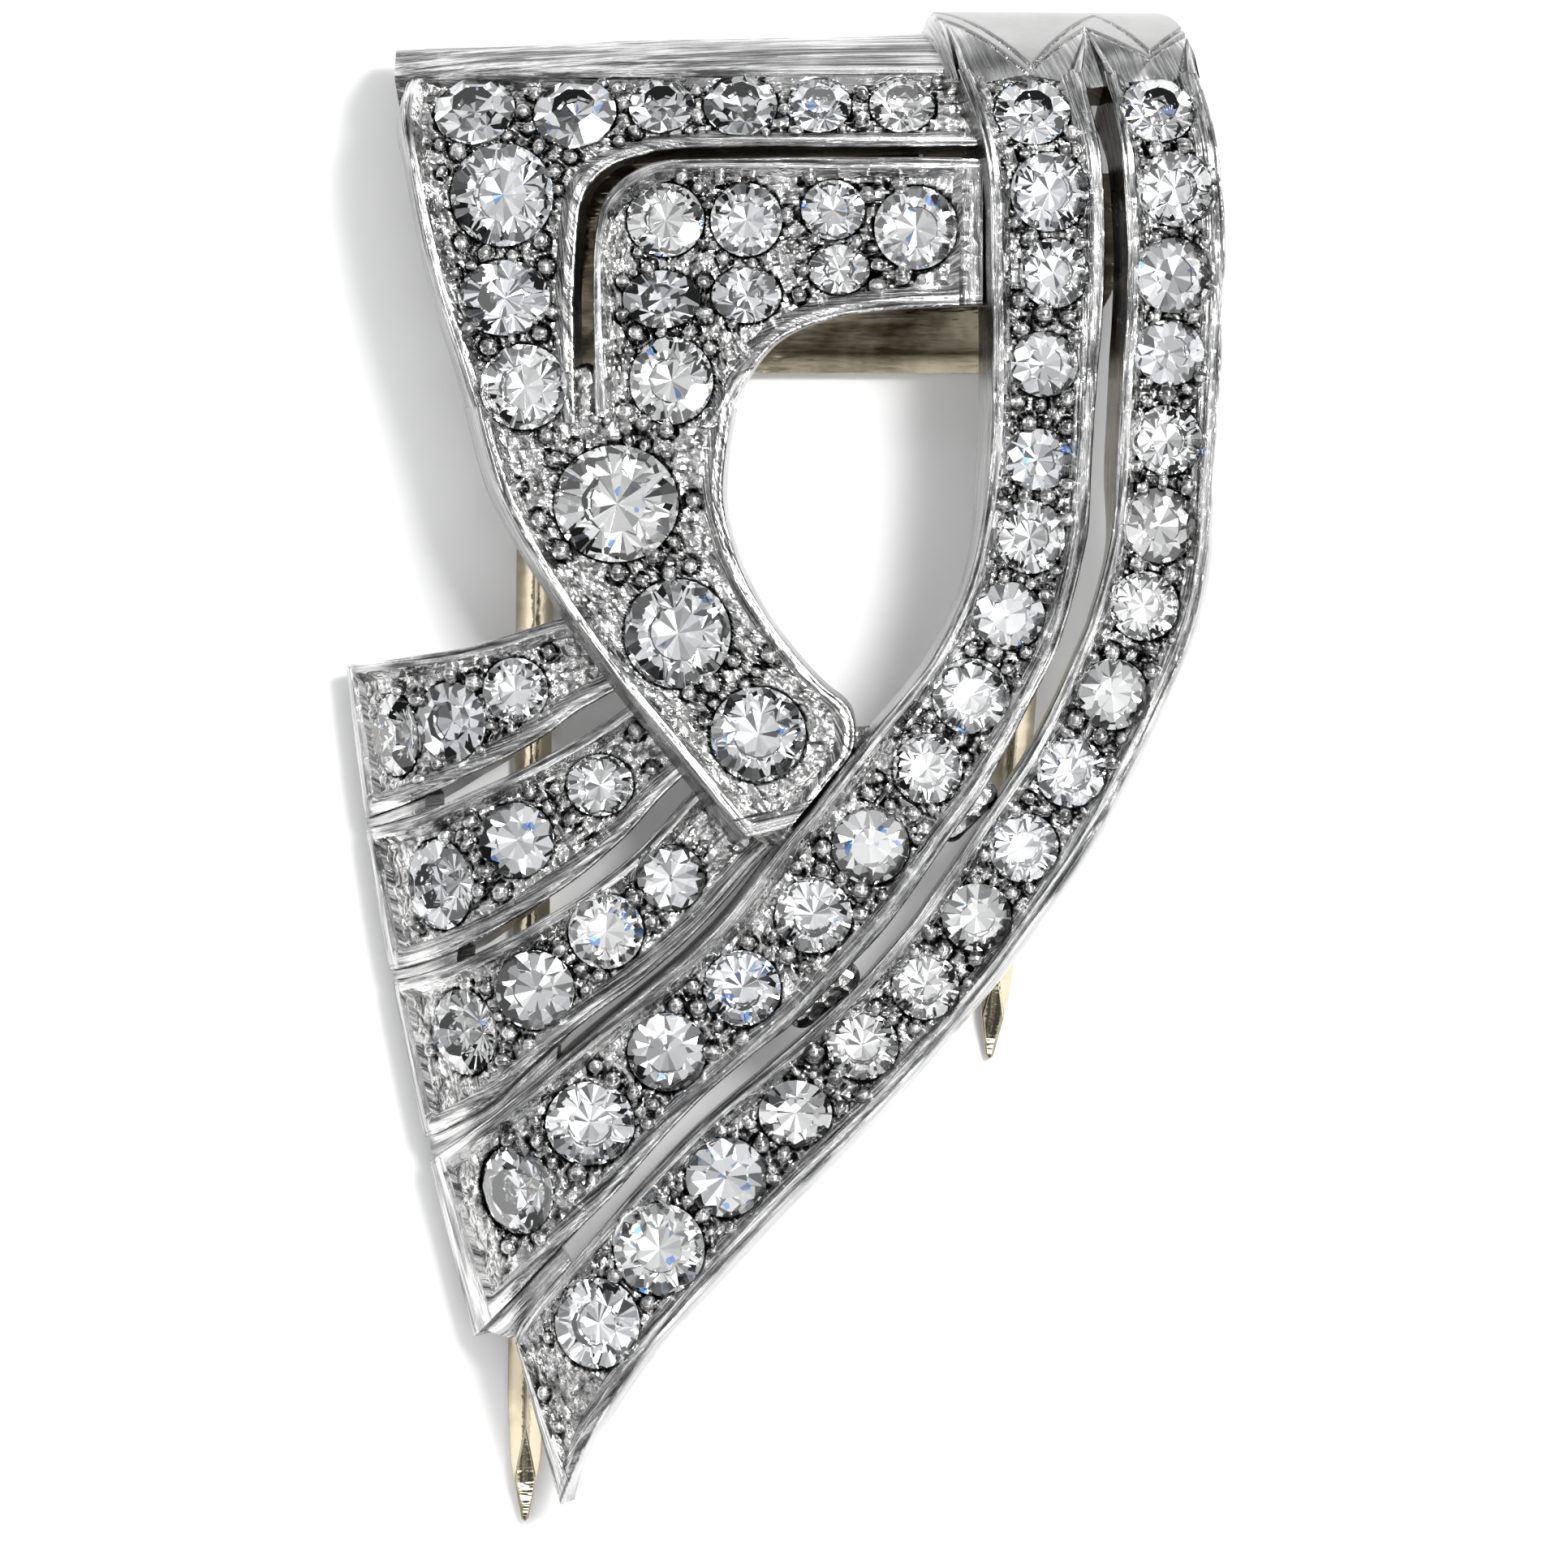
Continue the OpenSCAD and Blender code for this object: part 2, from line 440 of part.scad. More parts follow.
// One ear of the bracket: a barrel and the post that carries it
module ear(from, to) {
    difference() {
        union() {
            translate([from, HINGE_Y, HINGE_Z])
                rotate([0, 90, 0])
                    cylinder(r = barrel_r, h = to - from, $fn = 48);
            translate([from, BRACKET_Y[0], HINGE_Z])
                cube([to - from, BRACKET_Y[1] - BRACKET_Y[0], BRACKET_Z[1] - HINGE_Z]);
        }
        translate([from - 1, HINGE_Y, HINGE_Z])
            rotate([0, 90, 0])
                cylinder(r = pin_r + 0.02, h = to - from + 2, $fn = 48);
    }
}

module hinge_bracket() {
    color("silver") {
        ear(EAR_X[0], BARREL_X[0] - end_gap);
        ear(BARREL_X[1] + end_gap, EAR_X[1]);
        translate([EAR_X[0], BRACKET_Y[0], BRACKET_Z[0]])
            cube([EAR_X[1] - EAR_X[0], BRACKET_Y[1] - BRACKET_Y[0], BRACKET_Z[1] - BRACKET_Z[0]]);
    }
}

module hinge_pin() {
    color("darkkhaki")
        translate([EAR_X[0], HINGE_Y, HINGE_Z])
            rotate([0, 90, 0])
                cylinder(r = pin_r, h = EAR_X[1] - EAR_X[0], $fn = 48);
}

// A prong from its tip: its outline in plan, cut to a ridge, with its tip brought down to a point
module prong(tip, lean) {
    half = prong_w / 2;
    top = PLATE_Y[0] + 0.6 - tip[1];
    translate([tip[0], tip[1], 0])
        rotate([0, 0, -lean])
            intersection() {
                linear_extrude(height = prong_t)
                    polygon([[-half, top], [-half, 3.2], [-0.8 * half, 1.6], [-0.1, 0.1], [0, 0],
                             [0.1, 0.1], [0.8 * half, 1.6], [half, 3.2], [half, top]]);
                translate([0, top, 0])
                    rotate([90, 0, 0])
                        linear_extrude(height = top)
                            polygon([[-half, 0], [half, 0], [half, 0.35], [0, prong_t], [-half, 0.35]]);
                translate([-half, 0, 0])
                    rotate([90, 0, 90])
                        linear_extrude(height = prong_w)
                            polygon([[0, 0], [top, 0], [top, prong_t], [2.4, prong_t], [0, 0.3]]);
            }
}

module prong_lever() {
    color("tan") {
        difference() {
            union() {
                linear_extrude(height = plate_t)
                    polygon(concat(PLATE_RIGHT,
                                   [[PLATE_LEFT, PLATE_Y[0]], [PLATE_LEFT, PLATE_Y[1]],
                                    [BARREL_X[0], PLATE_Y[1]], [BARREL_X[0], HINGE_Y],
                                    [BARREL_X[1], HINGE_Y], [BARREL_X[1], PLATE_Y[1]]]));
                translate([BARREL_X[0], HINGE_Y, HINGE_Z])
                    rotate([0, 90, 0])
                        cylinder(r = barrel_r, h = BARREL_X[1] - BARREL_X[0], $fn = 48);
            }
            translate([BARREL_X[0] - 1, HINGE_Y, HINGE_Z])
                rotate([0, 90, 0])
                    cylinder(r = pin_r + hinge_gap, h = BARREL_X[1] - BARREL_X[0] + 2, $fn = 48);
        }
        prong(PRONG_L, LEAN_L);
        prong(PRONG_R, LEAN_R);
    }
}

// Brings a piece to its place in the frame
module put() {
    translate(CENTRE_SHIFT) children();
}

module stone_node(name, stones) {
    for (i = [0:len(stones) - 1])
        put() stone(stones[i]);
}

put() front_frame();
put() hinge_bracket();
put() hinge_pin();
put() prong_lever();
put() stone_string(INNER_STRING);  // inner_ribbon_stones
put() stone_string(OUTER_STRING);  // outer_ribbon_stones
stone_node("top_stone", TOP_ROW);
stone_node("left_stone", LEFT_ROW);
stone_node("inner_stone", INNER_ROWS);
stone_node("band_stone", BAND_ROW);
stone_node("ray_1_stone", RAY_ROWS[0]);
stone_node("ray_2_stone", RAY_ROWS[1]);
stone_node("ray_3_stone", RAY_ROWS[2]);
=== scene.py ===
"""A pierced platinum dress clip, grain-set with diamonds, dressed around its CAD frame.

The front is built here as smooth trays on the same rolled surfaces as the frame's, with a seat cut
under each stone, polished grains between the stones and an engraved cap. Each stone is cut from a
blank at the place and size that its CAD solid has. Sizes in the classes are millimetres, and those
in the finishes metres, as object coordinates are.
"""

import logging
import math
from dataclasses import dataclass
from enum import Enum, IntEnum
from typing import Any, Callable, Sequence

import bmesh
import bpy
import numpy as np
from mathutils import Matrix, Vector

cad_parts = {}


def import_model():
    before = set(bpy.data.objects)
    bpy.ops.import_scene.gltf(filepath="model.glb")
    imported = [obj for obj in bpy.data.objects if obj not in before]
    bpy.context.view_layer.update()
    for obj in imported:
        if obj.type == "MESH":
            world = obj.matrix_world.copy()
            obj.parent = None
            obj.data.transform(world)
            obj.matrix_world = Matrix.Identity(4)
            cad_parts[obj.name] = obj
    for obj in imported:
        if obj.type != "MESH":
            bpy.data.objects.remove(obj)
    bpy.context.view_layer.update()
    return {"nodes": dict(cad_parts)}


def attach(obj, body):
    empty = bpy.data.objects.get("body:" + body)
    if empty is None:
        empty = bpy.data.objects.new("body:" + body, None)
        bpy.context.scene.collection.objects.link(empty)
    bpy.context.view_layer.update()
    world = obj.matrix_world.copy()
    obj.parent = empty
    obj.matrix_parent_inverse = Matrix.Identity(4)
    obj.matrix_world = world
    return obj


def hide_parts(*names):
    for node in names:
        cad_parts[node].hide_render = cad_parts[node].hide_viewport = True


Array = np.ndarray
BMesh = bmesh.types.BMesh
Material = bpy.types.Material
Piece = bpy.types.Object
Chance = np.random.Generator
Pair = tuple[float, float]
Trio = tuple[float, float, float]
Row = tuple[float, float, float, float]
Rows = Sequence[Row]

LOG = logging.getLogger("dress_clip")
MM = 0.001
CENTRE_SHIFT = 0.05  # how far the CAD moves its flat x to centre the clip, mm
SEED = 20
FAR = 9.0  # farther than anything that is looked for nearby, mm
WORKED_SLOT = 1  # the material slot whose faces keep their sharp edges


class Sheet(Enum):
    """The surface that a band of the front follows."""

    PANEL = "panel"
    RIBBON = "ribbon"
    FAN = "fan"


class Cut(Enum):
    """How a stone is cut."""

    SINGLE = "single"
    FULL = "full"


class Way(Enum):
    """What a joined mesh is shaded as."""

    FLAT = "flat"
    SMOOTH = "smooth"
    CREASED = "creased"


class Follows(Enum):
    """What a finish's streaks follow: the band's own map, in mm, or the piece's axes, in metres."""

    BAND = "UV"
    PIECE = "Object"


class Dress(Enum):
    """Which finish a plain plate wears."""

    STRIP = "strip"
    RIM = "rim"


class Part(IntEnum):
    """What a column of a band's section belongs to."""

    WALL = 0
    RIM = 1
    SLOPE = 2
    FLOOR = 3
    BACK = 4
    UNDER_FLOOR = 5


# ---------------------------------------------------------------- shader wrapper


def operator(operation: str, swapped: bool = False) -> Callable[["Val", Any], "Val"]:
    """A method that joins two values with a Math node.

    Args:
        operation: the node's operation.
        swapped: whether the other value comes first.

    Returns:
        The method.
    """

    def method(self: "Val", other: Any) -> "Val":
        """This value and the other, joined."""
        pair = (other, self) if swapped else (self, other)
        return self.nodes.add("ShaderNodeMath", {"operation": operation}, dict(enumerate(pair)))

    return method


class Val:
    """One shader socket, with the arithmetic that the finishes use."""

    __add__, __radd__ = operator("ADD"), operator("ADD", True)
    __sub__, __rsub__ = operator("SUBTRACT"), operator("SUBTRACT", True)
    __mul__, __rmul__ = operator("MULTIPLY"), operator("MULTIPLY", True)

    def __init__(self, nodes: "Shader", socket: Any) -> None:
        """Wraps a socket of the shader's tree."""
        self.nodes = nodes
        self.socket = socket

    def ramp(self, low: float, high: float) -> "Val":
        """This value's place between low and high, kept within 0 and 1."""
        sockets = {"Value": self, "From Min": low, "From Max": high}
        return self.nodes.add("ShaderNodeMapRange", {"clamp": True}, sockets)


class Shader:
    """A material's node tree, with one way to add a node."""

    def __init__(self, name: str) -> None:
        """Starts a material that has only its output and a Principled shader.

        Args:
            name: the material's name.
        """
        self.material = bpy.data.materials.new(name)
        self.material.use_nodes = True
        self.tree = self.material.node_tree
        self.surface = self.tree.nodes["Principled BSDF"]

    @classmethod
    def on(cls, tree: Any, surface: str) -> "Shader":
        """Wraps a tree that exists, such as the world's.

        Args:
            tree: the node tree.
            surface: the name of its shader node.

        Returns:
            A shader with no material of its own.
        """
        shader = cls.__new__(cls)
        shader.material, shader.tree, shader.surface = None, tree, tree.nodes[surface]
        return shader

    def add(self, kind: str, settings: dict[str, Any], sockets: dict[Any, Any], out: Any = 0) -> Val:
        """Adds a node.

        Args:
            kind: the node's type.
            settings: its own settings, set before its sockets.
            sockets: values or links, by socket name or number.
            out: the name or number of the output that is wanted.

        Returns:
            That output, wrapped.
        """
        node = self.tree.nodes.new(kind)
        for key, value in settings.items():
            setattr(node, key, value)
        for key, value in sockets.items():
            if isinstance(value, Val):
                self.tree.links.new(value.socket, node.inputs[key])
            else:
                node.inputs[key].default_value = value
        return Val(self, node.outputs[out])

    def coords(self, kind: str = "Object", scale: Sequence[float] = (1, 1, 1)) -> Val:
        """Texture coordinates of the piece, stretched by scale."""
        where = self.add("ShaderNodeTexCoord", {}, {}, kind)
        return self.add("ShaderNodeMapping", {}, {"Vector": where, "Scale": tuple(scale)})

    def axis(self, where: Val, number: int) -> Val:
        """One axis of a place: 0, 1 or 2."""
        return self.add("ShaderNodeSeparateXYZ", {}, {"Vector": where}, number)

    def noise(self, where: Val, scale: float, detail: float = 3, rough: float = 0.5) -> Val:
        """Noise, as a value."""
        sockets = {"Vector": where, "Scale": scale, "Detail": detail, "Roughness": rough}
        return self.add("ShaderNodeTexNoise", {}, sockets)

    def cells(self, where: Val, scale: float, feature: str = "F1") -> Val:
        """Voronoi cells, as a distance."""
        return self.add("ShaderNodeTexVoronoi", {"feature": feature}, {"Vector": where, "Scale": scale})

    def mix(self, factor: Any, a: Any, b: Any) -> Val:
        """Mixes two colours.

        Args:
            factor: the share of b, a number or a value.
            a: a colour, as three numbers or a value.
            b: the other colour.

        Returns:
            The colour between them.
        """
        colours = [v if isinstance(v, Val) else (*v, 1) for v in (a, b)]
        sockets = {0: factor, 6: colours[0], 7: colours[1]}
        return self.add("ShaderNodeMix", {"data_type": "RGBA"}, sockets, 2)

    def bump(self, height: Val, strength: float, distance: float) -> Val:
        """A bump from a height, with its size in metres."""
        sockets = {"Height": height, "Strength": strength, "Distance": distance}
        return self.add("ShaderNodeBump", {}, sockets)

    def metal(self, tone: Val, rough: Val, height: Val, strength: float, distance: float) -> Material:
        """Sets the shader up as a metal with its colour, its roughness and a bump."""
        bump = self.bump(height, strength, distance)
        return self.set(Base_Color=tone, Metallic=1.0, Roughness=rough, Normal=bump)

    def attribute(self, name: str) -> Val:
        """A value that the mesh carries."""
        return self.add("ShaderNodeAttribute", {"attribute_name": name}, {}, "Fac")

    def set(self, **sockets: Any) -> Material:
        """Sets the sockets of the shader node.

        Args:
            **sockets: values or links, by socket name with _ for a space.

        Returns:
            The material, where the shader has one.
        """
        for key, value in sockets.items():
            socket = self.surface.inputs[key.replace("_", " ")]
            if isinstance(value, Val):
                self.tree.links.new(value.socket, socket)
            else:
                socket.default_value = value
        return self.material


# ---------------------------------------------------------------- finishes


@dataclass(frozen=True)
class PolishedMetal:
    """Polished metal with fine scratches that follow the piece, streaked towards its dark colour, with
    painted shade at a slot's end where one is given.
    """

    name: str
    colour: Trio
    dark: Trio
    rough: float = 0.16
    scratch: float = 0.35
    follows: Follows = Follows.BAND
    slot_end: tuple[float, ...] = ()  # left, right and low edge of painted shade at a slot's end, and its blur, m
    # the colour of that painted shade
    painted_shade_colour: Trio = (0.05, 0.04, 0.026)
    fine_map: Pair = (0.4, 6)  # how the fine streaks are stretched, along and across
    broad_map: Pair = (0.22, 2.2)
    worn: Pair = (0.45, 0.65)
    cloudy: Pair = (0.42, 0.8)
    bump_m: float = 0.00012

    def make(self) -> Material:
        """Makes the metal.

        Returns:
            The material: streaks along the piece, nicks, and painted shade at a slot's end where one is
                given.
        """
        s = Shader(self.name)
        k = 1 if self.follows is Follows.BAND else 1 / MM
        maps = [(k * along, k * over, k * over) for along, over in (self.fine_map, self.broad_map)]
        streaks = s.noise(s.coords(self.follows.value, maps[0]), 1.6, 4, 0.62)
        broad = s.noise(s.coords(self.follows.value, maps[1]), 1.5, 3, 0.5)
        place = s.coords()
        cloud = s.noise(place, 900, 3, 0.6)
        nicks = s.cells(place, 2600).ramp(0.0, 0.16)
        tone = s.mix((streaks * 0.6 + broad * 0.5).ramp(*self.worn), self.dark, self.colour)
        # painted shade: inside the box the metal darkens towards a near-black brown, where the slot's end
        # lies in shade
        if self.slot_end:
            left, right, low, soft = self.slot_end
            x, y = s.axis(place, 0), s.axis(place, 1)
            inside = x.ramp(left, left + soft) * (1 - x.ramp(right, right + soft)) * y.ramp(low, low + soft)
            tone = s.mix(inside * (0.8 + 0.4 * streaks), tone, self.painted_shade_colour)
        height = streaks * 0.9 + broad * 0.9 + cloud * 0.3 + nicks * 0.12
        rough = self.rough + 0.16 * cloud.ramp(*self.cloudy)
        return s.metal(tone, rough, height, self.scratch, self.bump_m)


@dataclass(frozen=True)
class PaleGold:
    """Pale gold, polished but handled, with hairlines, painted shade where the front lies over it, and a
    painted highlight along the plate's lower edge.
    """

    name: str
    colour: Trio
    dull_and_shaded: Trio
    painted_shade_from_y: Pair = (0.01035, 0.0106)  # from this y up, painted shade where the front lies over the gold; below it the plate's lower edge stays bright as a painted highlight, m
    handled: Pair = (0.47, 0.59)
    unshaded_share: float = 0.65  # the least share of the bright gold outside the painted shade
    scratch: float = 0.35
    bump_m: float = 0.0001

    def make(self) -> Material:
        """Makes the gold.

        Returns:
            The material: drawn streaks and hairlines, handled patches, and painted shade where the front
                lies over it.
        """
        s = Shader(self.name)
        place = s.coords()
        patches = s.noise(place, 420, 3, 0.6)
        drawn = s.noise(s.coords("Object", (0.22, 1.6, 1)), 520, 4, 0.6)
        hairs = s.noise(s.coords("Object", (0.3, 1, 1)), 5200, 2, 0.6)
        # painted shade: the gold darkens from the given y upward, where the front lies over it, and the
        # lower edge below stays bright as a painted highlight
        shade = s.axis(place, 1).ramp(*self.painted_shade_from_y)
        handled = (patches * 0.45 + drawn * 0.6).ramp(*self.handled)
        wear_and_shade_mix = handled * (0.35 + 0.1 * shade) + self.unshaded_share * (1 - shade)
        tone = s.mix(wear_and_shade_mix, self.dull_and_shaded, self.colour)
        height = patches * 0.9 + drawn * 0.9 + hairs * 0.12
        return s.metal(tone, 0.06 + 0.14 * hairs.ramp(0.5, 0.8), height, self.scratch, self.bump_m)


@dataclass(frozen=True)
class GraverCut:
    """The floor between stones: cut with a graver, bright on its facets, with near-black painted shade in
    its recesses.
    """

    name: str
    bright: Trio
    painted_hollow_shade: Trio
    scratch: float = 0.85
    facets_per_m: float = 3600
    cracks_per_m: float = 1900
    bump_m: float = 0.00012

    def make(self) -> Material:
        """Makes the floor's metal.

        Returns:
            The material: bright facets, painted shade where the mesh marks its recesses, and dark along the
                cracks.
        """
        s = Shader(self.name)
        place = s.coords()
        facets = s.cells(place, self.facets_per_m)
        cloud = s.noise(place, 2400, 4, 0.65)
        cracks = 1.0 - s.cells(place, self.cracks_per_m, "DISTANCE_TO_EDGE").ramp(0.0, 0.12)
        # painted shade from the mesh's marks in its dips, seats and moats, mixed with random cloud and dark
        # cracks
        dark = (s.attribute("painted_hollow_shade") + 0.45 * cloud.ramp(0.42, 0.72) + 0.22 * cracks).ramp(0.1, 0.85)
        tone, rough = s.mix(dark, self.bright, self.painted_hollow_shade), 0.09 + 0.25 * cloud.ramp(0.4, 0.7)
        return s.metal(tone, rough, facets + cloud * 0.6, self.scratch, self.bump_m)


@dataclass(frozen=True)
class SatinMetal:
    """Plain metal with an even satin surface, drawn lines along it where it is striated."""

    name: str
    colour: Trio
    lines: float = 0.0
    rough: float = 0.38
    bump_m: float = 0.0001

    def make(self) -> Material:
        """Makes the satin metal.

        Returns:
            The material: fine grain, with drawn lines as strong as lines says.
        """
        s = Shader(self.name)
        place = s.coords()
        grain = s.noise(place, 5200, 3, 0.6)
        lines = s.noise(s.coords("Object", (0.02, 5, 5)), 900, 3, 0.7)
        cloud = s.noise(place, 500, 3, 0.5)
        shade = cloud * (1 - 0.8 * self.lines) + lines * (0.8 * self.lines)
        dark = tuple(c * (0.84 - 0.66 * self.lines) for c in self.colour)
        tone = s.mix(shade.ramp(0.3 + 0.14 * self.lines, 0.7 - 0.12 * self.lines), dark, self.colour)
        height = grain * 0.2 + lines * (3.0 * self.lines)
        return s.metal(tone, self.rough + 0.12 * grain, height, 0.35 + 0.25 * self.lines, self.bump_m)


@dataclass(frozen=True)
class Diamond:
    """Cut diamond: clear, with a faint tint that changes from stone to stone and a few blue flecks painted
    into its colour as painted glints of dispersion.
    """

    name: str
    cool: Trio = (0.945, 0.972, 1.0)
    warm: Trio = (1.0, 0.995, 0.97)
    painted_fire: Trio = (0.07, 0.24, 1.0)
    fire_chance: Pair = (0.9895, 0.991)
    flecks_per_m: float = 4200
    ior: float = 2.42

    def make(self) -> Material:
        """Makes the diamond.

        Returns:
            The material: clear, with a tint that changes over the piece and painted blue glints of
                dispersion.
        """
        s = Shader(self.name)
        tint = s.noise(s.coords(), 380, 2, 0.5)
        tone = s.mix(tint.ramp(0.35, 0.65), self.cool, self.warm)
        flecks = {"Vector": s.coords(), "Scale": self.flecks_per_m}
        chance = s.add("ShaderNodeTexVoronoi", {}, flecks, "Color")
        red = s.add("ShaderNodeSeparateColor", {}, {"Color": chance}, 0)
        # painted light: rare flecks of blue base colour stand in for the flashes of dispersion
        tone = s.mix(red.ramp(*self.fire_chance), tone, self.painted_fire)
        return s.set(Base_Color=tone, Roughness=0.0, IOR=self.ior, Transmission_Weight=1.0)


@dataclass(frozen=True)
class StudioPaper:
    """White paper with hardly any texture, lit faintly from within by a painted emission that lightens it
    and its shadows.
    """

    name: str
    painted_glow: float = 0.06
    grey: Pair = (0.93, 0.96)

    def make(self) -> Material:
        """Makes the paper.

        Returns:
            The material: faint fibres and a faint painted emission.
        """
        s = Shader(self.name)
        fibre = s.noise(s.coords(), 700, 3, 0.5)
        return s.set(
            Base_Color=s.mix(fibre, *((v, v, v) for v in self.grey)),
            Roughness=0.9,
            Normal=s.bump(fibre, 0.05, 0.00005),
            # painted light: the paper emits a little light of its own, which lightens the shadows on it
            Emission_Color=(1, 1, 1, 1),
            Emission_Strength=self.painted_glow,
        )


class Finishes:
    """Every material of the scene, made once."""

    def __init__(self) -> None:
        """Makes the materials."""

        def polished(name: str, light: Trio, dark: Any, *more: Any, **named: Any) -> Material:
            """A polished platinum: its dark colour is a grey where one number gives it."""
            dark = dark if isinstance(dark, tuple) else (dark, dark, dark)
            return PolishedMetal(f"platinum_{name}", light, dark, *more, **named).make()

        piece = Follows.PIECE
        # where painted shade darkens the walls at the top of the slot between the ribbons, m
        slot_end = (0.0068, 0.0084, 0.0142, 0.0003)
        self.rim = polished("polished", (0.76, 0.76, 0.75), 0.12, 0.09)
        self.bevel = polished("bright_cut", (0.8, 0.8, 0.79), 0.08, 0.08, 0.8)
        self.wall = polished("wall", (0.42, 0.42, 0.415), 0.17, 0.18, 0.26, slot_end=slot_end)
        self.facet = polished("facet", (0.6, 0.6, 0.59), 0.3, 0.14, 0.12)
        self.cut = GraverCut("platinum_graver_cut", (0.62, 0.62, 0.61), (0.015, 0.015, 0.015)).make()
        self.bead = polished("grain", (0.75, 0.75, 0.74), 0.13, 0.07, 0.3, piece)
        self.satin = SatinMetal("platinum_satin", (0.4, 0.4, 0.395)).make()
        self.strip = SatinMetal("platinum_striated", (0.62, 0.62, 0.615), 1.0, 0.18).make()
        self.gold = PaleGold("pale_gold", (0.58, 0.51, 0.375), (0.045, 0.034, 0.02)).make()
        self.back = polished("back", (0.5, 0.5, 0.49), 0.25, 0.3, 0.4, piece)
        # painted shade: the bracket gets a dark brown copy of the platinum, for the shade under the ribbons
        # that it lies in
        self.painted_shade_bracket = polished("painted_shade_bracket", (0.2, 0.17, 0.12), (0.05, 0.04, 0.03), 0.25, 0.4, piece)
        self.diamond = Diamond("diamond").make()
        self.paper = StudioPaper("paper").make()


# ---------------------------------------------------------------- surfaces and noise


def ease(a: float, b: float, x: Array) -> Array:
    """Eased step from 0 at a to 1 at b."""
    t = np.clip((x - a) / (b - a), 0, 1)
    return t * t * (3 - 2 * t)


def value_noise(p: Array, seed: int) -> Array:
    """Smooth noise from 0 to 1 at 2-D points, the same at each run.

    Args:
        p: points, one a row.
        seed: which noise.

    Returns:
        One value a point.
    """
    cell = np.floor(p).astype(np.int64)
    f = p - cell
    f = f * f * (3 - 2 * f)

    def corner(dx: int, dy: int) -> Array:
        """Random values of a lattice corner.

        Args:
            dx: the corner's steps from the cell, in x.
            dy: the same in y.

        Returns:
            One value a point, from 0 to 1.
        """
        k = (cell[..., 0] + dx) * 374761393 + (cell[..., 1] + dy) * 668265263 + seed * 974634777
        k = (k ^ (k >> 13)) * 1274126177
        return ((k ^ (k >> 16)) & 0xFFFF) / 65535.0

    low = corner(0, 0) * (1 - f[..., 0]) + corner(1, 0) * f[..., 0]
    high = corner(0, 1) * (1 - f[..., 0]) + corner(1, 1) * f[..., 0]
    return low * (1 - f[..., 1]) + high * f[..., 1]


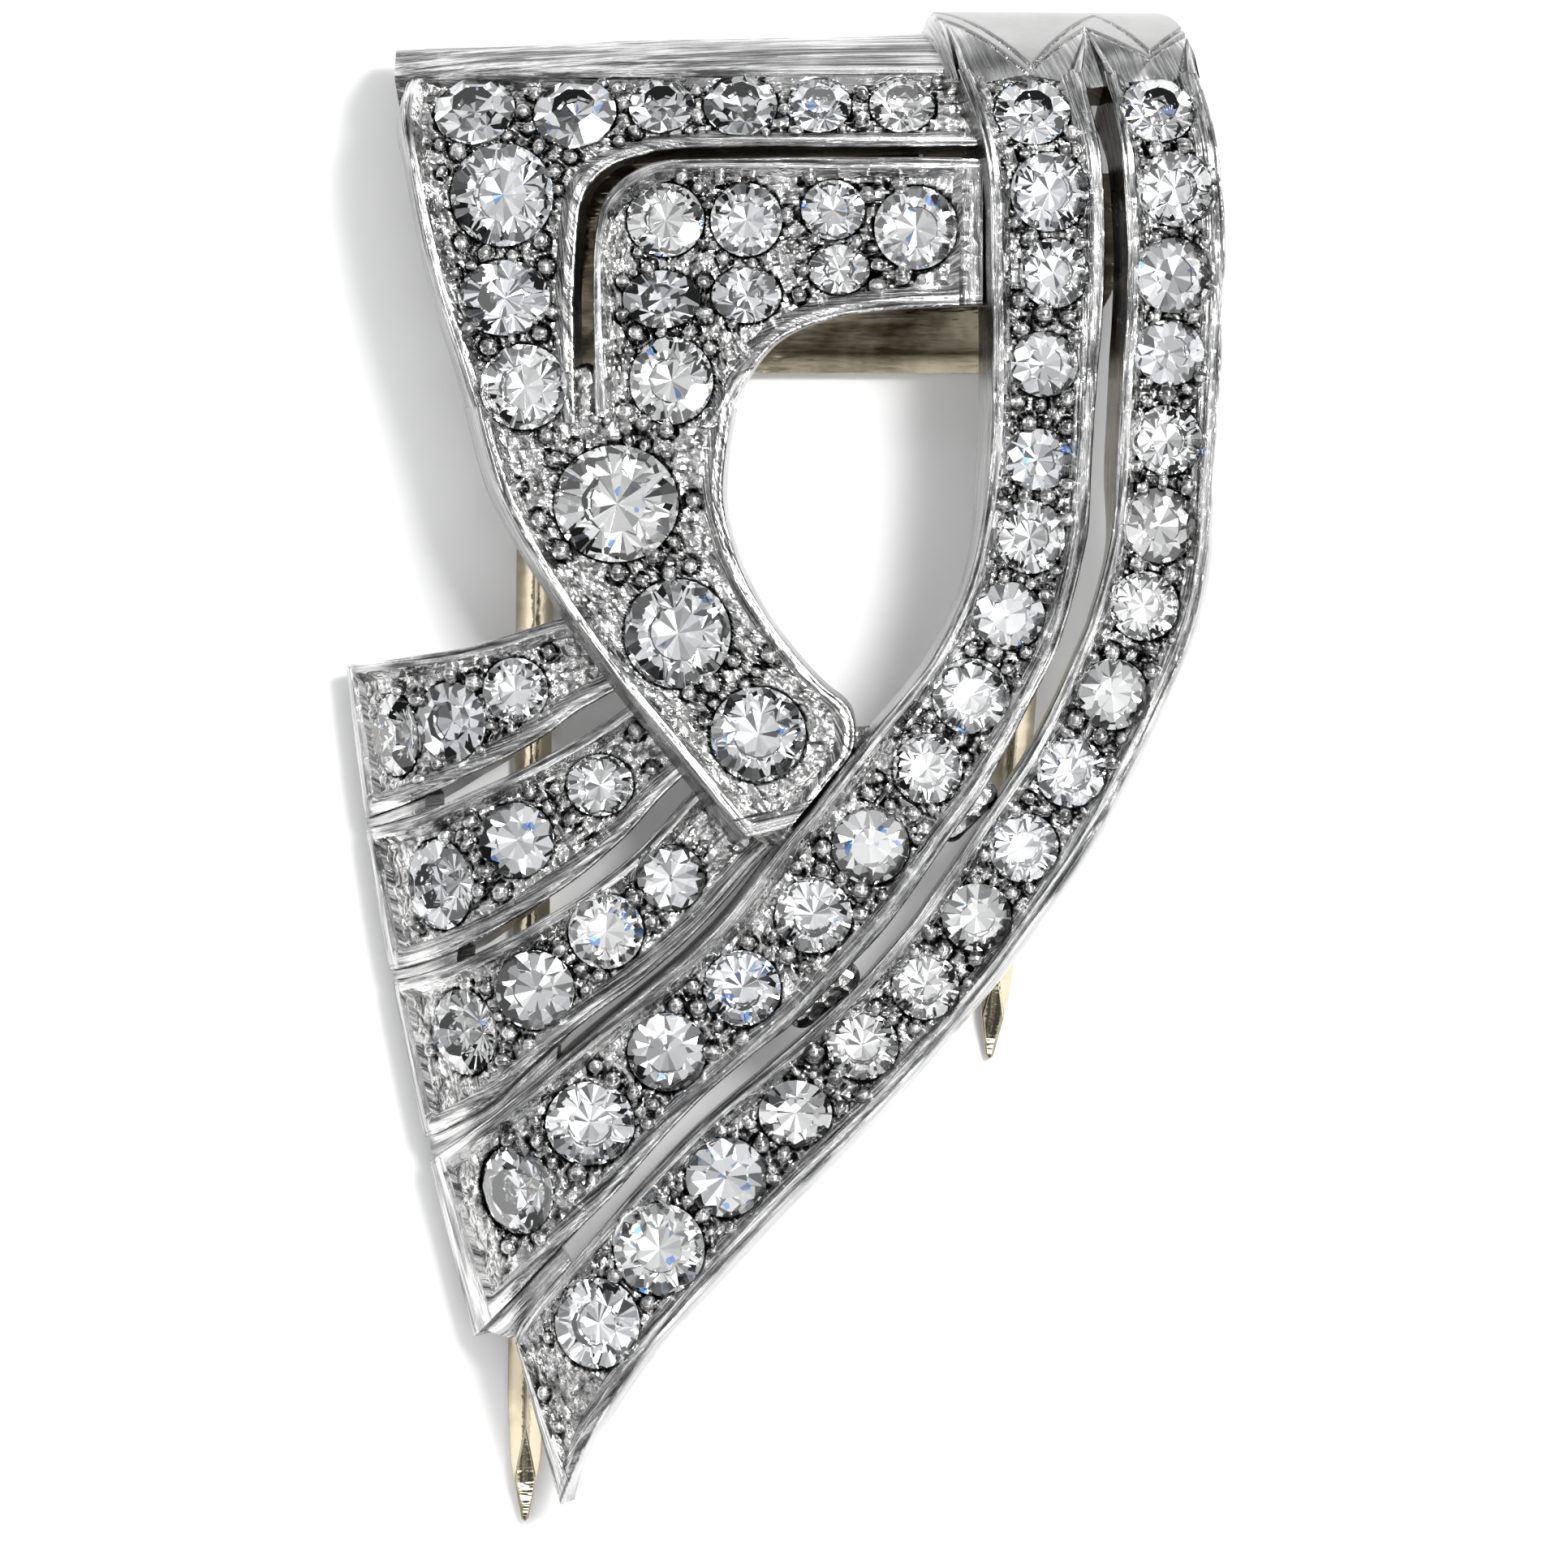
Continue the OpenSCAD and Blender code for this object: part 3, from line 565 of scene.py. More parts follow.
@dataclass(frozen=True)
class Form:
    """The rolled and domed surfaces that the front is made on, as the CAD has them."""

    ribbon_top: float = 6.9
    panel_top: float = 6.2
    fan_top: float = 4.3
    panel_dome_r: float = 60
    ribbon_dome_r: float = 45
    dome_x: float = 1
    panel_roll: Trio = (15.1, 3.2, 3.9)  # where it starts, how far it reaches and how far it drops
    ribbon_roll: Trio = (14.9, 4.3, 4.3)
    panel_skew: float = 0.03
    panel_left: float = -9.8
    fan_roll_r: float = 4.5
    fan_y: Pair = (2.62, -14.4)
    fan_x: Pair = (-11.4, -8.1)
    fan_bow: float = 0.36
    fan_lean: float = 10.8
    ribbon_fall: Pair = (-12, 5)
    panel_fall: Trio = (-4, 6, 0.5)
    foot_z: Pair = (0.45, 1.3)
    foot_x: Pair = (-8.5, -7.6)
    wall_lean: float = 0.15  # how much of the surface's lean the ribbons' walls keep low down
    wall_turn: Pair = (5, 8)  # between these flat v they come to keep all of it

    def fan_edge(self, y: Array) -> Array:
        """Left end of the fan at height y."""
        q = (self.fan_y[0] - y) / (self.fan_y[0] - self.fan_y[1])
        return self.fan_x[0] + (self.fan_x[1] - self.fan_x[0]) * q - 4 * self.fan_bow * q * (1 - q)

    def fan_drop(self, x: Array, y: Array) -> Array:
        """How far the fan has rolled down.

        Args:
            x: x of the places, mm.
            y: y of the places, mm.

        Returns:
            One drop a place, mm.
        """
        w = np.maximum(0.01, (x - self.fan_edge(y)) * math.cos(math.radians(self.fan_lean)))
        u = np.clip(1 - w / self.fan_roll_r, 0, 1)
        return self.fan_roll_r * (1 - np.sqrt(1 - u * u))

    def rim_z(self, sheet: Sheet, x: Array, y: Array) -> Array:
        """Height of a surface's rim before the top edge rolls over.

        Args:
            sheet: which surface.
            x: x of the places, mm.
            y: y of the places, mm.

        Returns:
            One height a place, mm.
        """
        if sheet is Sheet.PANEL:
            fall = self.panel_fall[2] * (1 - ease(self.panel_fall[0], self.panel_fall[1], y))
            return self.panel_top - (x - self.dome_x) ** 2 / (2 * self.panel_dome_r) - fall
        if sheet is Sheet.RIBBON:
            rise = (self.ribbon_top - self.fan_top) * ease(*self.ribbon_fall, y)
            dome = np.maximum(x - self.dome_x, 0) ** 2 / (2 * self.ribbon_dome_r)
            return self.fan_top + rise - dome - self.fan_drop(x, y)
        return self.fan_top - self.fan_drop(x, y)

    def place(self, sheet: Sheet, x: Array, v: Array) -> Array:
        """Flat places on a surface, in space.

        Args:
            sheet: which surface.
            x: flat x.
            v: flat v, which runs on over the rolled top edge.

        Returns:
            Points, one a row, in mm.
        """
        if sheet is Sheet.FAN:
            return np.stack([x, v, self.rim_z(sheet, x, v)], -1)
        start, reach, drop = self.panel_roll if sheet is Sheet.PANEL else self.ribbon_roll
        start = start + (self.panel_skew * (x - self.panel_left) if sheet is Sheet.PANEL else 0 * x)
        turn = np.maximum(v - start, 0) / ((reach + drop) / 2)
        y = np.minimum(v, start)
        height = self.rim_z(sheet, x, y) - drop * (1 - np.cos(turn))
        return np.stack([x, y + reach * np.sin(turn), height], -1)

    def facing(self, sheet: Sheet, x: Array, v: Array) -> Array:
        """Outward normals of a surface.

        Args:
            sheet: which surface.
            x: flat x of the places.
            v: flat v of the places.

        Returns:
            One unit normal a place.
        """
        e = 0.02
        across = self.place(sheet, x + e, v) - self.place(sheet, x - e, v)
        along = self.place(sheet, x, v + e) - self.place(sheet, x, v - e)
        n = np.cross(across, along)
        return n / np.linalg.norm(n, axis=-1, keepdims=True)

    def wall_way(self, sheet: Sheet, x: Array, v: Array) -> Array:
        """Directions in which side walls stand.

        Args:
            sheet: which surface.
            x: flat x of the places.
            v: flat v of the places.

        Returns:
            One unit direction a place.
        """
        n = self.facing(sheet, x, v)
        if sheet is Sheet.RIBBON:
            lean = self.wall_lean + (1 - self.wall_lean) * ease(*self.wall_turn, v)
            n = n * np.stack([lean, lean, np.ones_like(lean)], -1)
        return n / np.linalg.norm(n, axis=-1, keepdims=True)

    def foot(self, x: Array) -> Array:
        """Lowest height that the front comes down to."""
        return self.foot_z[0] + (self.foot_z[1] - self.foot_z[0]) * ease(*self.foot_x, x)


FORM = Form()


# ---------------------------------------------------------------- meshes


def finish_mesh(
    bm: BMesh,
    name: str,
    materials: Sequence[Material],
    way: Way = Way.CREASED,
    crease_deg: float = 32,
) -> Piece:
    """Turns a bmesh in mm into an object in metres, shaded and dressed.

    Args:
        bm: the mesh, which is freed.
        name: the piece's name.
        materials: its materials, by face index.
        way: how it is shaded.
        crease_deg: the angle past which an edge is sharp.

    Returns:
        The object, at the origin.
    """
    bmesh.ops.scale(bm, vec=(MM, MM, MM), verts=bm.verts)
    for face in bm.faces:
        sharp = way is Way.FLAT or (way is Way.CREASED and face.material_index == WORKED_SLOT)
        face.smooth = not sharp
    if way is Way.CREASED:
        limit = math.radians(crease_deg)
        for edge in bm.edges:
            edge.smooth = len(edge.link_faces) == 2 and edge.calc_face_angle(0) < limit
    mesh = bpy.data.meshes.new(name)
    bm.to_mesh(mesh)
    bm.free()
    for material in materials:
        mesh.materials.append(material)
    obj = bpy.data.objects.new(name, mesh)
    bpy.context.scene.collection.objects.link(obj)
    return obj


def lay_grid(bm: BMesh, along: int, around: int) -> tuple[Array, Array]:
    """Lays a grid that is to be swept into a closed tube, its last column on its first.

    Args:
        bm: the empty mesh.
        along: steps along the tube.
        around: columns once round it.

    Returns:
        Each vertex's place along the tube, from 0 to 1, and its column.
    """
    bmesh.ops.create_grid(bm, x_segments=along, y_segments=around, size=0.5)
    bm.verts.ensure_lookup_table()
    place = np.array([v.co for v in bm.verts])
    column = np.rint((place[:, 1] + 0.5) * around).astype(int) % around
    return place[:, 0] + 0.5, column


def close_tube(bm: BMesh, merge: float) -> None:
    """Joins a swept tube's seam, closes its ends and turns its faces outward.

    Args:
        bm: the mesh.
        merge: how close two vertices are joined, mm.
    """
    bmesh.ops.remove_doubles(bm, verts=bm.verts, dist=merge)
    bmesh.ops.holes_fill(bm, edges=[e for e in bm.edges if e.is_boundary], sides=0)
    bmesh.ops.triangulate(bm, faces=[f for f in bm.faces if len(f.verts) > 4])
    bmesh.ops.recalc_face_normals(bm, faces=bm.faces)


@dataclass(frozen=True)
class Stone:
    """A stone's place and size, read from its CAD solid."""

    node: str
    centre: Array
    normal: Array
    across: Array
    along: Array
    half_w: float
    half_l: float

    @property
    def r(self) -> float:
        """Mean radius of the girdle."""
        return (self.half_w + self.half_l) / 2

    def reach(self, p: Array) -> Array:
        """Distance of points from the stone's axis.

        Args:
            p: points, one a row, mm.

        Returns:
            One distance a point, as a share of the girdle, and FAR well above or below the stone.
        """
        d = p - self.centre
        away = np.abs(d @ self.normal) > 1.4
        u, w = d @ self.across / self.half_w, d @ self.along / self.half_l
        return np.where(away, FAR, np.hypot(u, w))


@dataclass(frozen=True)
class StoneReader:
    """Reads the stones' places from the CAD nodes."""

    pavilion_ratio: float = 0.42
    weld_m: float = 1e-7

    def read(self, node: str, obj: Piece) -> list[Stone]:
        """The stones of a node, in the order of their distance from the top end.

        Args:
            node: the CAD node's name.
            obj: its object.

        Returns:
            One record for each loose solid.
        """
        bm = bmesh.new()
        bm.from_mesh(obj.data)
        bmesh.ops.remove_doubles(bm, verts=bm.verts, dist=self.weld_m)
        found, seen = [], set()
        for start in bm.verts:
            if start in seen:
                continue
            island, queue = [], [start]
            seen.add(start)
            while queue:
                vert = queue.pop()
                island.append(vert)
                for edge in vert.link_edges:
                    other = edge.other_vert(vert)
                    if other not in seen:
                        seen.add(other)
                        queue.append(other)
            found.append(self._one(node, np.array([v.co for v in island], float) / MM))
        bm.free()
        return sorted(found, key=lambda s: -s.centre[1])

    def _one(self, node: str, p: Array) -> Stone:
        """Fits a stone to the corners of its solid.

        Args:
            node: the CAD node's name.
            p: the corners, one a row, mm.

        Returns:
            The stone's place and size.
        """
        mid = p.mean(0)
        _, axes = np.linalg.eigh(np.cov((p - mid).T))
        normal = axes[:, 0] if axes[2, 0] > 0 else -axes[:, 0]
        across = np.cross([0.0, 1.0, 0.0], normal)
        across /= np.linalg.norm(across)
        along = np.cross(normal, across)
        high = (p - mid) @ normal
        culet = p[np.argmin(high)]
        u, w = (p - culet) @ across, (p - culet) @ along
        half_w, half_l = float(np.abs(u).max()), float(np.abs(w).max())
        depth = self.pavilion_ratio * (half_w + half_l)
        return Stone(node, culet + normal * depth, normal, across, along, half_w, half_l)


WALL_H = {Sheet.PANEL: 1.8, Sheet.RIBBON: 2.0, Sheet.FAN: 1.4}
PLATE_H = {Sheet.PANEL: 1.25, Sheet.RIBBON: 1.25, Sheet.FAN: 1.2}


@dataclass
class Sweep:
    """A solid swept along the rows of its table, over one of the front's surfaces.

    Rows are left x, left v, right x and right v of one section across it.
    """

    name: str
    sheet: Sheet
    rows: Rows
    spread: Pair = (0.0, 0.0)  # how far its left and right wall stand out at the foot
    lift: float = 0.0
    seed: int = 1
    wall_t: float = 0.35

    def section_at(self, s: Array) -> Array:
        """Rows of the table, smooth between its own rows.

        Args:
            s: places along the sweep, from 0 to 1.

        Returns:
            One row a place.
        """
        rows = np.array(self.rows, float)
        n = len(rows)
        u = np.clip(s, 0, 1) * (n - 1)
        i = np.minimum(np.floor(u).astype(int), n - 2)
        t = (u - i)[:, None]
        p0, p1 = rows[np.maximum(i - 1, 0)], rows[i]
        p2, p3 = rows[i + 1], rows[np.minimum(i + 2, n - 1)]
        return 0.5 * (
            2 * p1
            + (p2 - p0) * t
            + (2 * p0 - 5 * p1 + 4 * p2 - p3) * t * t
            + (3 * p1 - p0 - 3 * p2 + p3) * t**3
        )

    def length(self) -> float:
        """Measures the sweep.

        Returns:
            Its length down its middle, mm.
        """
        rows = self.section_at(np.linspace(0, 1, 60))
        mid = (rows[:, :2] + rows[:, 2:]) / 2
        return float(np.linalg.norm(np.diff(mid, axis=0), axis=1).sum())

    def width_at(self, s: Array) -> Array:
        """Width of the sweep at places s, mm."""
        rows = self.section_at(s)
        return np.linalg.norm(rows[:, 2:] - rows[:, :2], axis=1)

    def spread_points(self, s: Array, share: Array, add: Array, height: Array) -> Array:
        """Points of the sweep.

        Args:
            s: places along it.
            share: share of the width, of the shape of s.
            add: distance added across it, mm.
            height: height over the rim, mm.

        Returns:
            Points in space, mm.
        """
        rows = self.section_at(s)
        a, b = rows[:, :2], rows[:, 2:]
        width = np.linalg.norm(b - a, axis=1)
        d = (b - a) / width[:, None]
        q = share * width + add
        inside = np.clip(q, 0, width)
        flat = a + d * inside[:, None]
        p = FORM.place(self.sheet, flat[:, 0], flat[:, 1])
        p = p + (height + self.lift)[:, None] * FORM.wall_way(self.sheet, flat[:, 0], flat[:, 1])
        p[:, :2] += d * (q - inside)[:, None]
        p[:, 2] = np.maximum(p[:, 2], FORM.foot(p[:, 0]))
        return p + np.array([CENTRE_SHIFT, 0, 0])


@dataclass
class Band(Sweep):
    """A tray for stones: rims, cut slopes, a floor of graver work and walls."""

    rims: tuple[bool, bool] = (False, True)  # whether a rim closes its first and its last end
    rim_w: float = 0.28
    slope_w: float = 0.24
    depth: float = 0.28
    end_w: float = 0.45
    narrows: bool = False
    cell: float = 0.085
    stone_reach: float = 4.5
    grain_r: Pair = (0.14, 0.26)
    grain_tries_per_cm: int = 900
    grain_gap: float = 0.3
    stray_share: float = 0.025
    hole: float = 0.5  # the open part under a stone, as a share of its girdle
    seat: float = 1.05  # where a stone's seat starts, as a share of its girdle
    seat_extra: float = 0.03
    merge: float = 0.004
    wave: Pair = (1.7, 0.02)  # waves a mm and height of the hand-made unevenness
    fine: Pair = (6.5, 0.008)
    chips: Pair = (3.6, 0.16)
    ridges: Trio = (1.6, 5.0, 0.14)  # waves a mm along and across, and height
    moat: Trio = (1.1, 0.05, 0.1)  # the cut round a grain: its radius, its width and its depth

    def stations(self) -> Array:
        """Places of the sections.

        Returns:
            Places from 0 to 1, closer at the ends, where a rim may turn.
        """
        n = max(8, int(self.length() / self.cell))
        lip = [0.04, 0.16, self.end_w - 0.04, self.end_w, self.end_w + 0.12, self.end_w + self.slope_w]
        ends = np.array(lip) / self.length()
        middle = np.linspace(0, 1, n + 1)
        keep = middle[(middle > ends[-1] * 1.05) & (middle < 1 - ends[-1] * 1.05)]
        return np.concatenate([[0], ends, keep, 1 - ends[::-1], [1]])

    def columns(self) -> tuple[Array, Array, Array, Array]:
        """The section's columns, once round it.

        Returns:
            The share of the width, the distance added to it, the height, and the Part of each column.
        """
        row = self.section_at(np.array([0.5]))[0]
        width = float(np.hypot(row[0] - row[2], row[1] - row[3]))
        h, p, lip = WALL_H[self.sheet], PLATE_H[self.sheet], self.rim_w + self.slope_w
        wall = ((1.0, -h), (0.85, -h * 0.6), (0.45, -h * 0.25), (0.08, -0.07))
        rim = (
            (0.0, -0.04), (0.03, -0.005), (0.07, 0.0), (0.105, -0.03), (0.15, 0.0),
            (self.rim_w - 0.05, 0.0), (self.rim_w - 0.01, -0.005),
        )
        slope = (
            (self.rim_w + 0.03, -0.05),
            (self.rim_w + self.slope_w * 0.35, -0.12),
            (self.rim_w + self.slope_w * 0.7, -0.19),
        )
        edge = [(q, z, Part.RIM) for q, z in rim] + [(q, z, Part.SLOPE) for q, z in slope]
        floor = np.linspace(0, 1, max(4, int((width - 2 * lip) / self.cell)) + 1)
        outer, inner = -self.spread[0], self.spread[1]
        table = [(0, outer * q, z, Part.WALL) for q, z in wall]
        table += [(0, q, z, k) for q, z, k in edge]
        table += [(g, lip * (1 - 2 * g), -self.depth, Part.FLOOR) for g in floor]
        table += [(1, -q, z, k) for q, z, k in edge[::-1]]
        table += [(1, inner * q, z, Part.WALL) for q, z in wall[::-1]]
        table += [(1, inner - self.wall_t, -h, Part.BACK), (1, -self.wall_t, -p, Part.BACK)]
        table += [(g, lip * (1 - 2 * g), -p, Part.UNDER_FLOOR) for g in floor[::-1]]
        table += [(0, self.wall_t, -p, Part.BACK), (0, self.wall_t + outer, -h, Part.BACK)]
        return tuple(np.array(table, float).T)

    def openness(self, s: Array) -> Array:
        """How far the tray is open.

        Args:
            s: places along it, from 0 to 1.

        Returns:
            One value a place: 0 on the rim of an end, 1 inside.
        """
        far = np.full(len(s), FAR)
        near = np.minimum(s if self.rims[0] else far, (1 - s) if self.rims[1] else far) * self.length()
        return np.clip((near - self.end_w) / self.slope_w, 0, 1)

    def grains(self, stones: Sequence[Stone], rng: Chance) -> Array:
        """Places and radii of the grains that hold the stones.

        Args:
            stones: all stones.
            rng: the source of chance.

        Returns:
            Rows of x, y, z, radius, in mm, and the normal there.
        """
        n = int(self.grain_tries_per_cm * self.length() / 10)
        s = rng.uniform(0.0, 1, n)
        across = rng.uniform(0, 1, n)
        r = rng.uniform(*self.grain_r, n)
        width = self.width_at(s)
        edge = across * width
        wall = np.minimum(edge, width - edge) - self.rim_w
        p = self.spread_points(s, across, np.zeros(n), np.full(n, -self.depth))
        first, second = np.full((2, n), FAR)  # the gaps to the two nearest stones
        for stone in stones:
            gap = (stone.reach(p) - 1) * stone.r
            second = np.minimum(np.maximum(gap, first), second)
            first = np.minimum(gap, first)
        stray = rng.uniform(0, 1, n) < self.stray_share
        held = (first > r * 0.6) & ((first < r * 0.6 + self.grain_gap) | stray) & (self.openness(s) >= 1)
        between = (second < 1.0) | stray
        order = np.argsort(first + 0.6 * second - 1.6 * r + 0.15 * rng.uniform(0, 1, n))
        kept: list[int] = []
        for i in order[(held & between & (wall > r * 0.7))[order]]:
            if all(np.linalg.norm(p[i] - p[j]) > (r[i] + r[j]) * 1.18 for j in kept):
                kept.append(int(i))
        rows = self.section_at(s[kept])
        mid = rows[:, :2] + (rows[:, 2:] - rows[:, :2]) * across[kept][:, None]
        normals = FORM.facing(self.sheet, mid[:, 0], mid[:, 1]) if kept else np.zeros((0, 3))
        return np.hstack([p[kept], r[kept][:, None], normals])

    def shape(self, stones: Sequence[Stone], grains: Array) -> BMesh:
        """The swept mesh, with the seats cut and the floor worked.

        Args:
            stones: the stones in reach.
            grains: the band's grains.

        Returns:
            The mesh.
        """
        sections = self.stations()
        share, add, height, kind = self.columns()
        wall_h, plate_h = WALL_H[self.sheet], PLATE_H[self.sheet]
        bm = bmesh.new()
        uv_layer = bm.loops.layers.uv.new("UVMap")
        painted_hollow_shade = bm.verts.layers.float.new("painted_hollow_shade")
        place, column = lay_grid(bm, len(sections) - 1, len(share))
        s = sections[np.rint(place * (len(sections) - 1)).astype(int)]
        share, add, height, k = share[column], add[column], height[column], kind[column]
        tray = (k == Part.SLOPE) | (k == Part.FLOOR)
        open_ = self.openness(s)
        z = height * np.where(tray, open_, 1)
        base = self.spread_points(s, share, add, np.zeros(len(s)))
        run = s * self.length()
        side = share * self.width_at(s) + add
        here = np.stack([run, side], 1)
        wave = value_noise(here * self.wave[0], self.seed) - 0.5
        fine = value_noise(here * self.fine[0], self.seed + 7) - 0.5
        chips = np.abs(value_noise(here * self.chips[0], self.seed + 3) - 0.5)
        ridges = np.abs(value_noise(here * np.array(self.ridges[:2]), self.seed + 5) - 0.5)
        add_now = add + np.where(k <= Part.SLOPE, self.wave[1] * wave, 0)
        if self.narrows:
            lean = np.where(share > 0.5, self.spread[1], -self.spread[0]) * ease(0.9, 1, s)
            add_now -= np.where(k == Part.WALL, lean * np.abs(add) / max(self.spread), 0)
            add_now -= np.where((k == Part.BACK) & (height == -wall_h), lean, 0)
        z = z + np.where(k == Part.RIM, self.wave[1] * wave + self.fine[1] * fine, 0)
        work = open_ * (-0.04 + self.chips[1] * chips + self.ridges[2] * ridges + 0.07 * fine)
        z = z + np.where(k == Part.FLOOR, work, 0) + np.where(k == Part.SLOPE, open_ * 0.05 * fine, 0)
        # worn holds painted shade: the floor is darker where its graver work dips low
        worn = np.where(k == Part.FLOOR, np.clip(0.56 - 2.2 * chips - 1.2 * ridges, 0, 1) * open_, 0)
        ring, soft, deep = self.moat
        for g in grains:
            d = np.linalg.norm(base - self.depth * g[4:7] - g[:3], axis=1) / g[3]
            moat = np.exp(-((d - ring) ** 2) / soft)
            z = z - np.where(k == Part.FLOOR, deep * moat, 0)
            # painted shade in the moat round each grain
            worn = np.maximum(worn, np.where(k == Part.FLOOR, 0.85 * moat, 0))
        top = tray | (k == Part.RIM)
        seat_d = self.depth + self.seat_extra
        for stone in stones:
            q = stone.reach(base)
            cone = -seat_d - np.clip(self.seat - q, 0, 1) / (self.seat - self.hole) * (plate_h - seat_d)
            seat = np.where(q < self.hole, -plate_h, cone)
            z = np.where(top & (q < self.seat), np.minimum(z, seat), z)
            # painted shade in each stone's seat, under the stone
            worn = np.where(top & (q < self.seat - 0.01), 0.9, worn)
        p = self.spread_points(s, share, add_now, z)
        holes = np.zeros(len(p), bool)
        for stone in stones:
            q = stone.reach(p)
            inside = ((k == Part.FLOOR) | (k == Part.UNDER_FLOOR)) & (q < self.hole)
            holes |= inside
            d = p - stone.centre
            flat = d - np.outer(d @ stone.normal, stone.normal)
            grow = (self.hole / np.maximum(q, 0.05) - 1)[:, None]
            p = np.where(inside[:, None], p + flat * grow, p)
        for vert, point, tone in zip(bm.verts, p, worn):
            vert.co = point
            vert[painted_hollow_shade] = tone
        doomed = []
        for face in bm.faces:
            ids = [v.index for v in face.verts]
            low, high, inside = k[ids].min(), k[ids].max(), open_[ids]
            if holes[ids].all():
                doomed.append(face)
            face.material_index = self._slot(low, high, float(inside.min()))
            turned = low >= Part.RIM and high <= Part.FLOOR and inside.max() < 1
            for loop in face.loops:
                i = loop.vert.index
                loop[uv_layer].uv = (side[i], run[i]) if turned else (run[i], side[i] + z[i])
        bmesh.ops.delete(bm, geom=doomed, context="FACES")
        close_tube(bm, self.merge)
        return bm

    @staticmethod
    def _slot(low: float, high: float, inside: float) -> int:
        """The material slot of a face.

        Args:
            low: the least Part of its corners.
            high: the greatest Part of its corners.
            inside: how far the tray is open there.

        Returns:
            0 for the rim, 1 for graver work, 2 for the back, 3 for a bright slope, 4 for a wall.
        """
        if low >= Part.SLOPE and high <= Part.FLOOR:
            return 0 if inside < 0.05 else 3 if inside < 0.8 or low == Part.SLOPE else WORKED_SLOT
        if low == Part.WALL and high <= Part.RIM:
            return 4
        return 2 if high >= Part.BACK else 0

    def build(self, stones: Sequence[Stone], finishes: Finishes) -> list[Piece]:
        """Builds the tray and its grains.

        Args:
            stones: all stones.
            finishes: the materials.

        Returns:
            The new pieces.
        """
        rng = np.random.default_rng(SEED + self.seed)
        zero = np.zeros(40)
        line = self.spread_points(np.linspace(0, 1, 40), zero + 0.5, zero, zero)
        near = [t for t in stones if np.linalg.norm(line - t.centre, axis=1).min() < self.stone_reach]
        grains = self.grains(near, rng)
        worn = (finishes.rim, finishes.cut, finishes.back, finishes.bevel, finishes.wall)
        made = [finish_mesh(self.shape(near, grains), self.name, worn)]
        if len(grains):
            made.append(self.grain_piece(grains, rng, finishes))
        LOG.info("%s: %d grains", self.name, len(grains))
        return made

    def grain_piece(self, grains: Array, rng: Chance, finishes: Finishes) -> Piece:
        """The band's grains, as one joined piece.

        Args:
            grains: the band's grains.
            rng: the source of chance.
            finishes: the materials.

        Returns:
            The new piece.
        """
        bm = bmesh.new()
        for g in grains:
            r = g[3]
            squash = Matrix.Diagonal((r, r * rng.uniform(0.68, 1.0), r * rng.uniform(0.95, 1.2), 1))
            turn = Vector(g[4:7]).to_track_quat("Z", "Y").to_matrix().to_4x4()
            spin = Matrix.Rotation(rng.uniform(0, math.tau), 4, "Z")
            place = Matrix.Translation(Vector(g[:3] + g[4:7] * 0.05))
            bmesh.ops.create_icosphere(bm, subdivisions=2, radius=1, matrix=place @ turn @ spin @ squash)
        return finish_mesh(bm, f"{self.name}_grains", (finishes.bead,), Way.SMOOTH)


@dataclass
class PlainPlate(Sweep):
    """A plate without stones: the striated top strip, a soldered join, or a ridge on the cap."""

    dress: Dress = Dress.STRIP
    across: int = 40
    plate_t: float = 1.25
    ridge: float = 0.05
    lines_mm: float = 0.06
    step: float = 0.12
    least_steps: int = 10
    crease_deg: float = 25
    merge: float = 0.002

    def shape(self) -> BMesh:
        """Builds the plate's mesh.

        Returns:
            The mesh, closed and mapped, in mm.
        """
        share = np.linspace(0, 1, self.across)
        height = np.zeros(self.across)
        height[[0, 1, -2, -1]] = (-0.1, -0.02, -0.02, -0.1)
        share = np.concatenate([share, share[::-1]])
        height = np.concatenate([height, np.full(self.across, -self.plate_t)])
        bm = bmesh.new()
        s, c = lay_grid(bm, max(self.least_steps, int(self.length() / self.step)), len(share))
        run, side = s * self.length(), share[c] * self.width_at(s)
        lines = value_noise(np.stack([run * 0.35, side / self.lines_mm * 0.4], 1), self.seed)
        z = height[c] + np.where(c < self.across, self.ridge * (lines - 0.5), 0)
        self._settle(bm, self.spread_points(s, share[c], np.zeros(len(s)), z), run, side)
        return bm

    def _settle(self, bm: BMesh, points: Array, u: Array, v: Array) -> None:
        """Puts a grid's vertices in place, maps it and closes it.

        Args:
            bm: the grid.
            points: a place for each vertex, mm.
            u: where each is on the piece's own map, along it.
            v: the same, across it.
        """
        layer = bm.loops.layers.uv.new("UVMap")
        for vert, point in zip(bm.verts, points):
            vert.co = point
        for face in bm.faces:
            for loop in face.loops:
                i = loop.vert.index
                loop[layer].uv = (u[i], v[i])
        close_tube(bm, self.merge)

    def worn(self, finishes: Finishes) -> tuple[Material, ...]:
        """The materials that it wears, by slot."""
        return (getattr(finishes, self.dress.value),)

    def build(self, _stones: Sequence[Stone], finishes: Finishes) -> list[Piece]:
        """Builds the plate.

        Args:
            _stones: all stones; not used here, since only a band has a use for them.
            finishes: the materials.

        Returns:
            The new piece.
        """
        LOG.info("%s: no stones", self.name)
        return [finish_mesh(self.shape(), self.name, self.worn(finishes), Way.CREASED, self.crease_deg)]


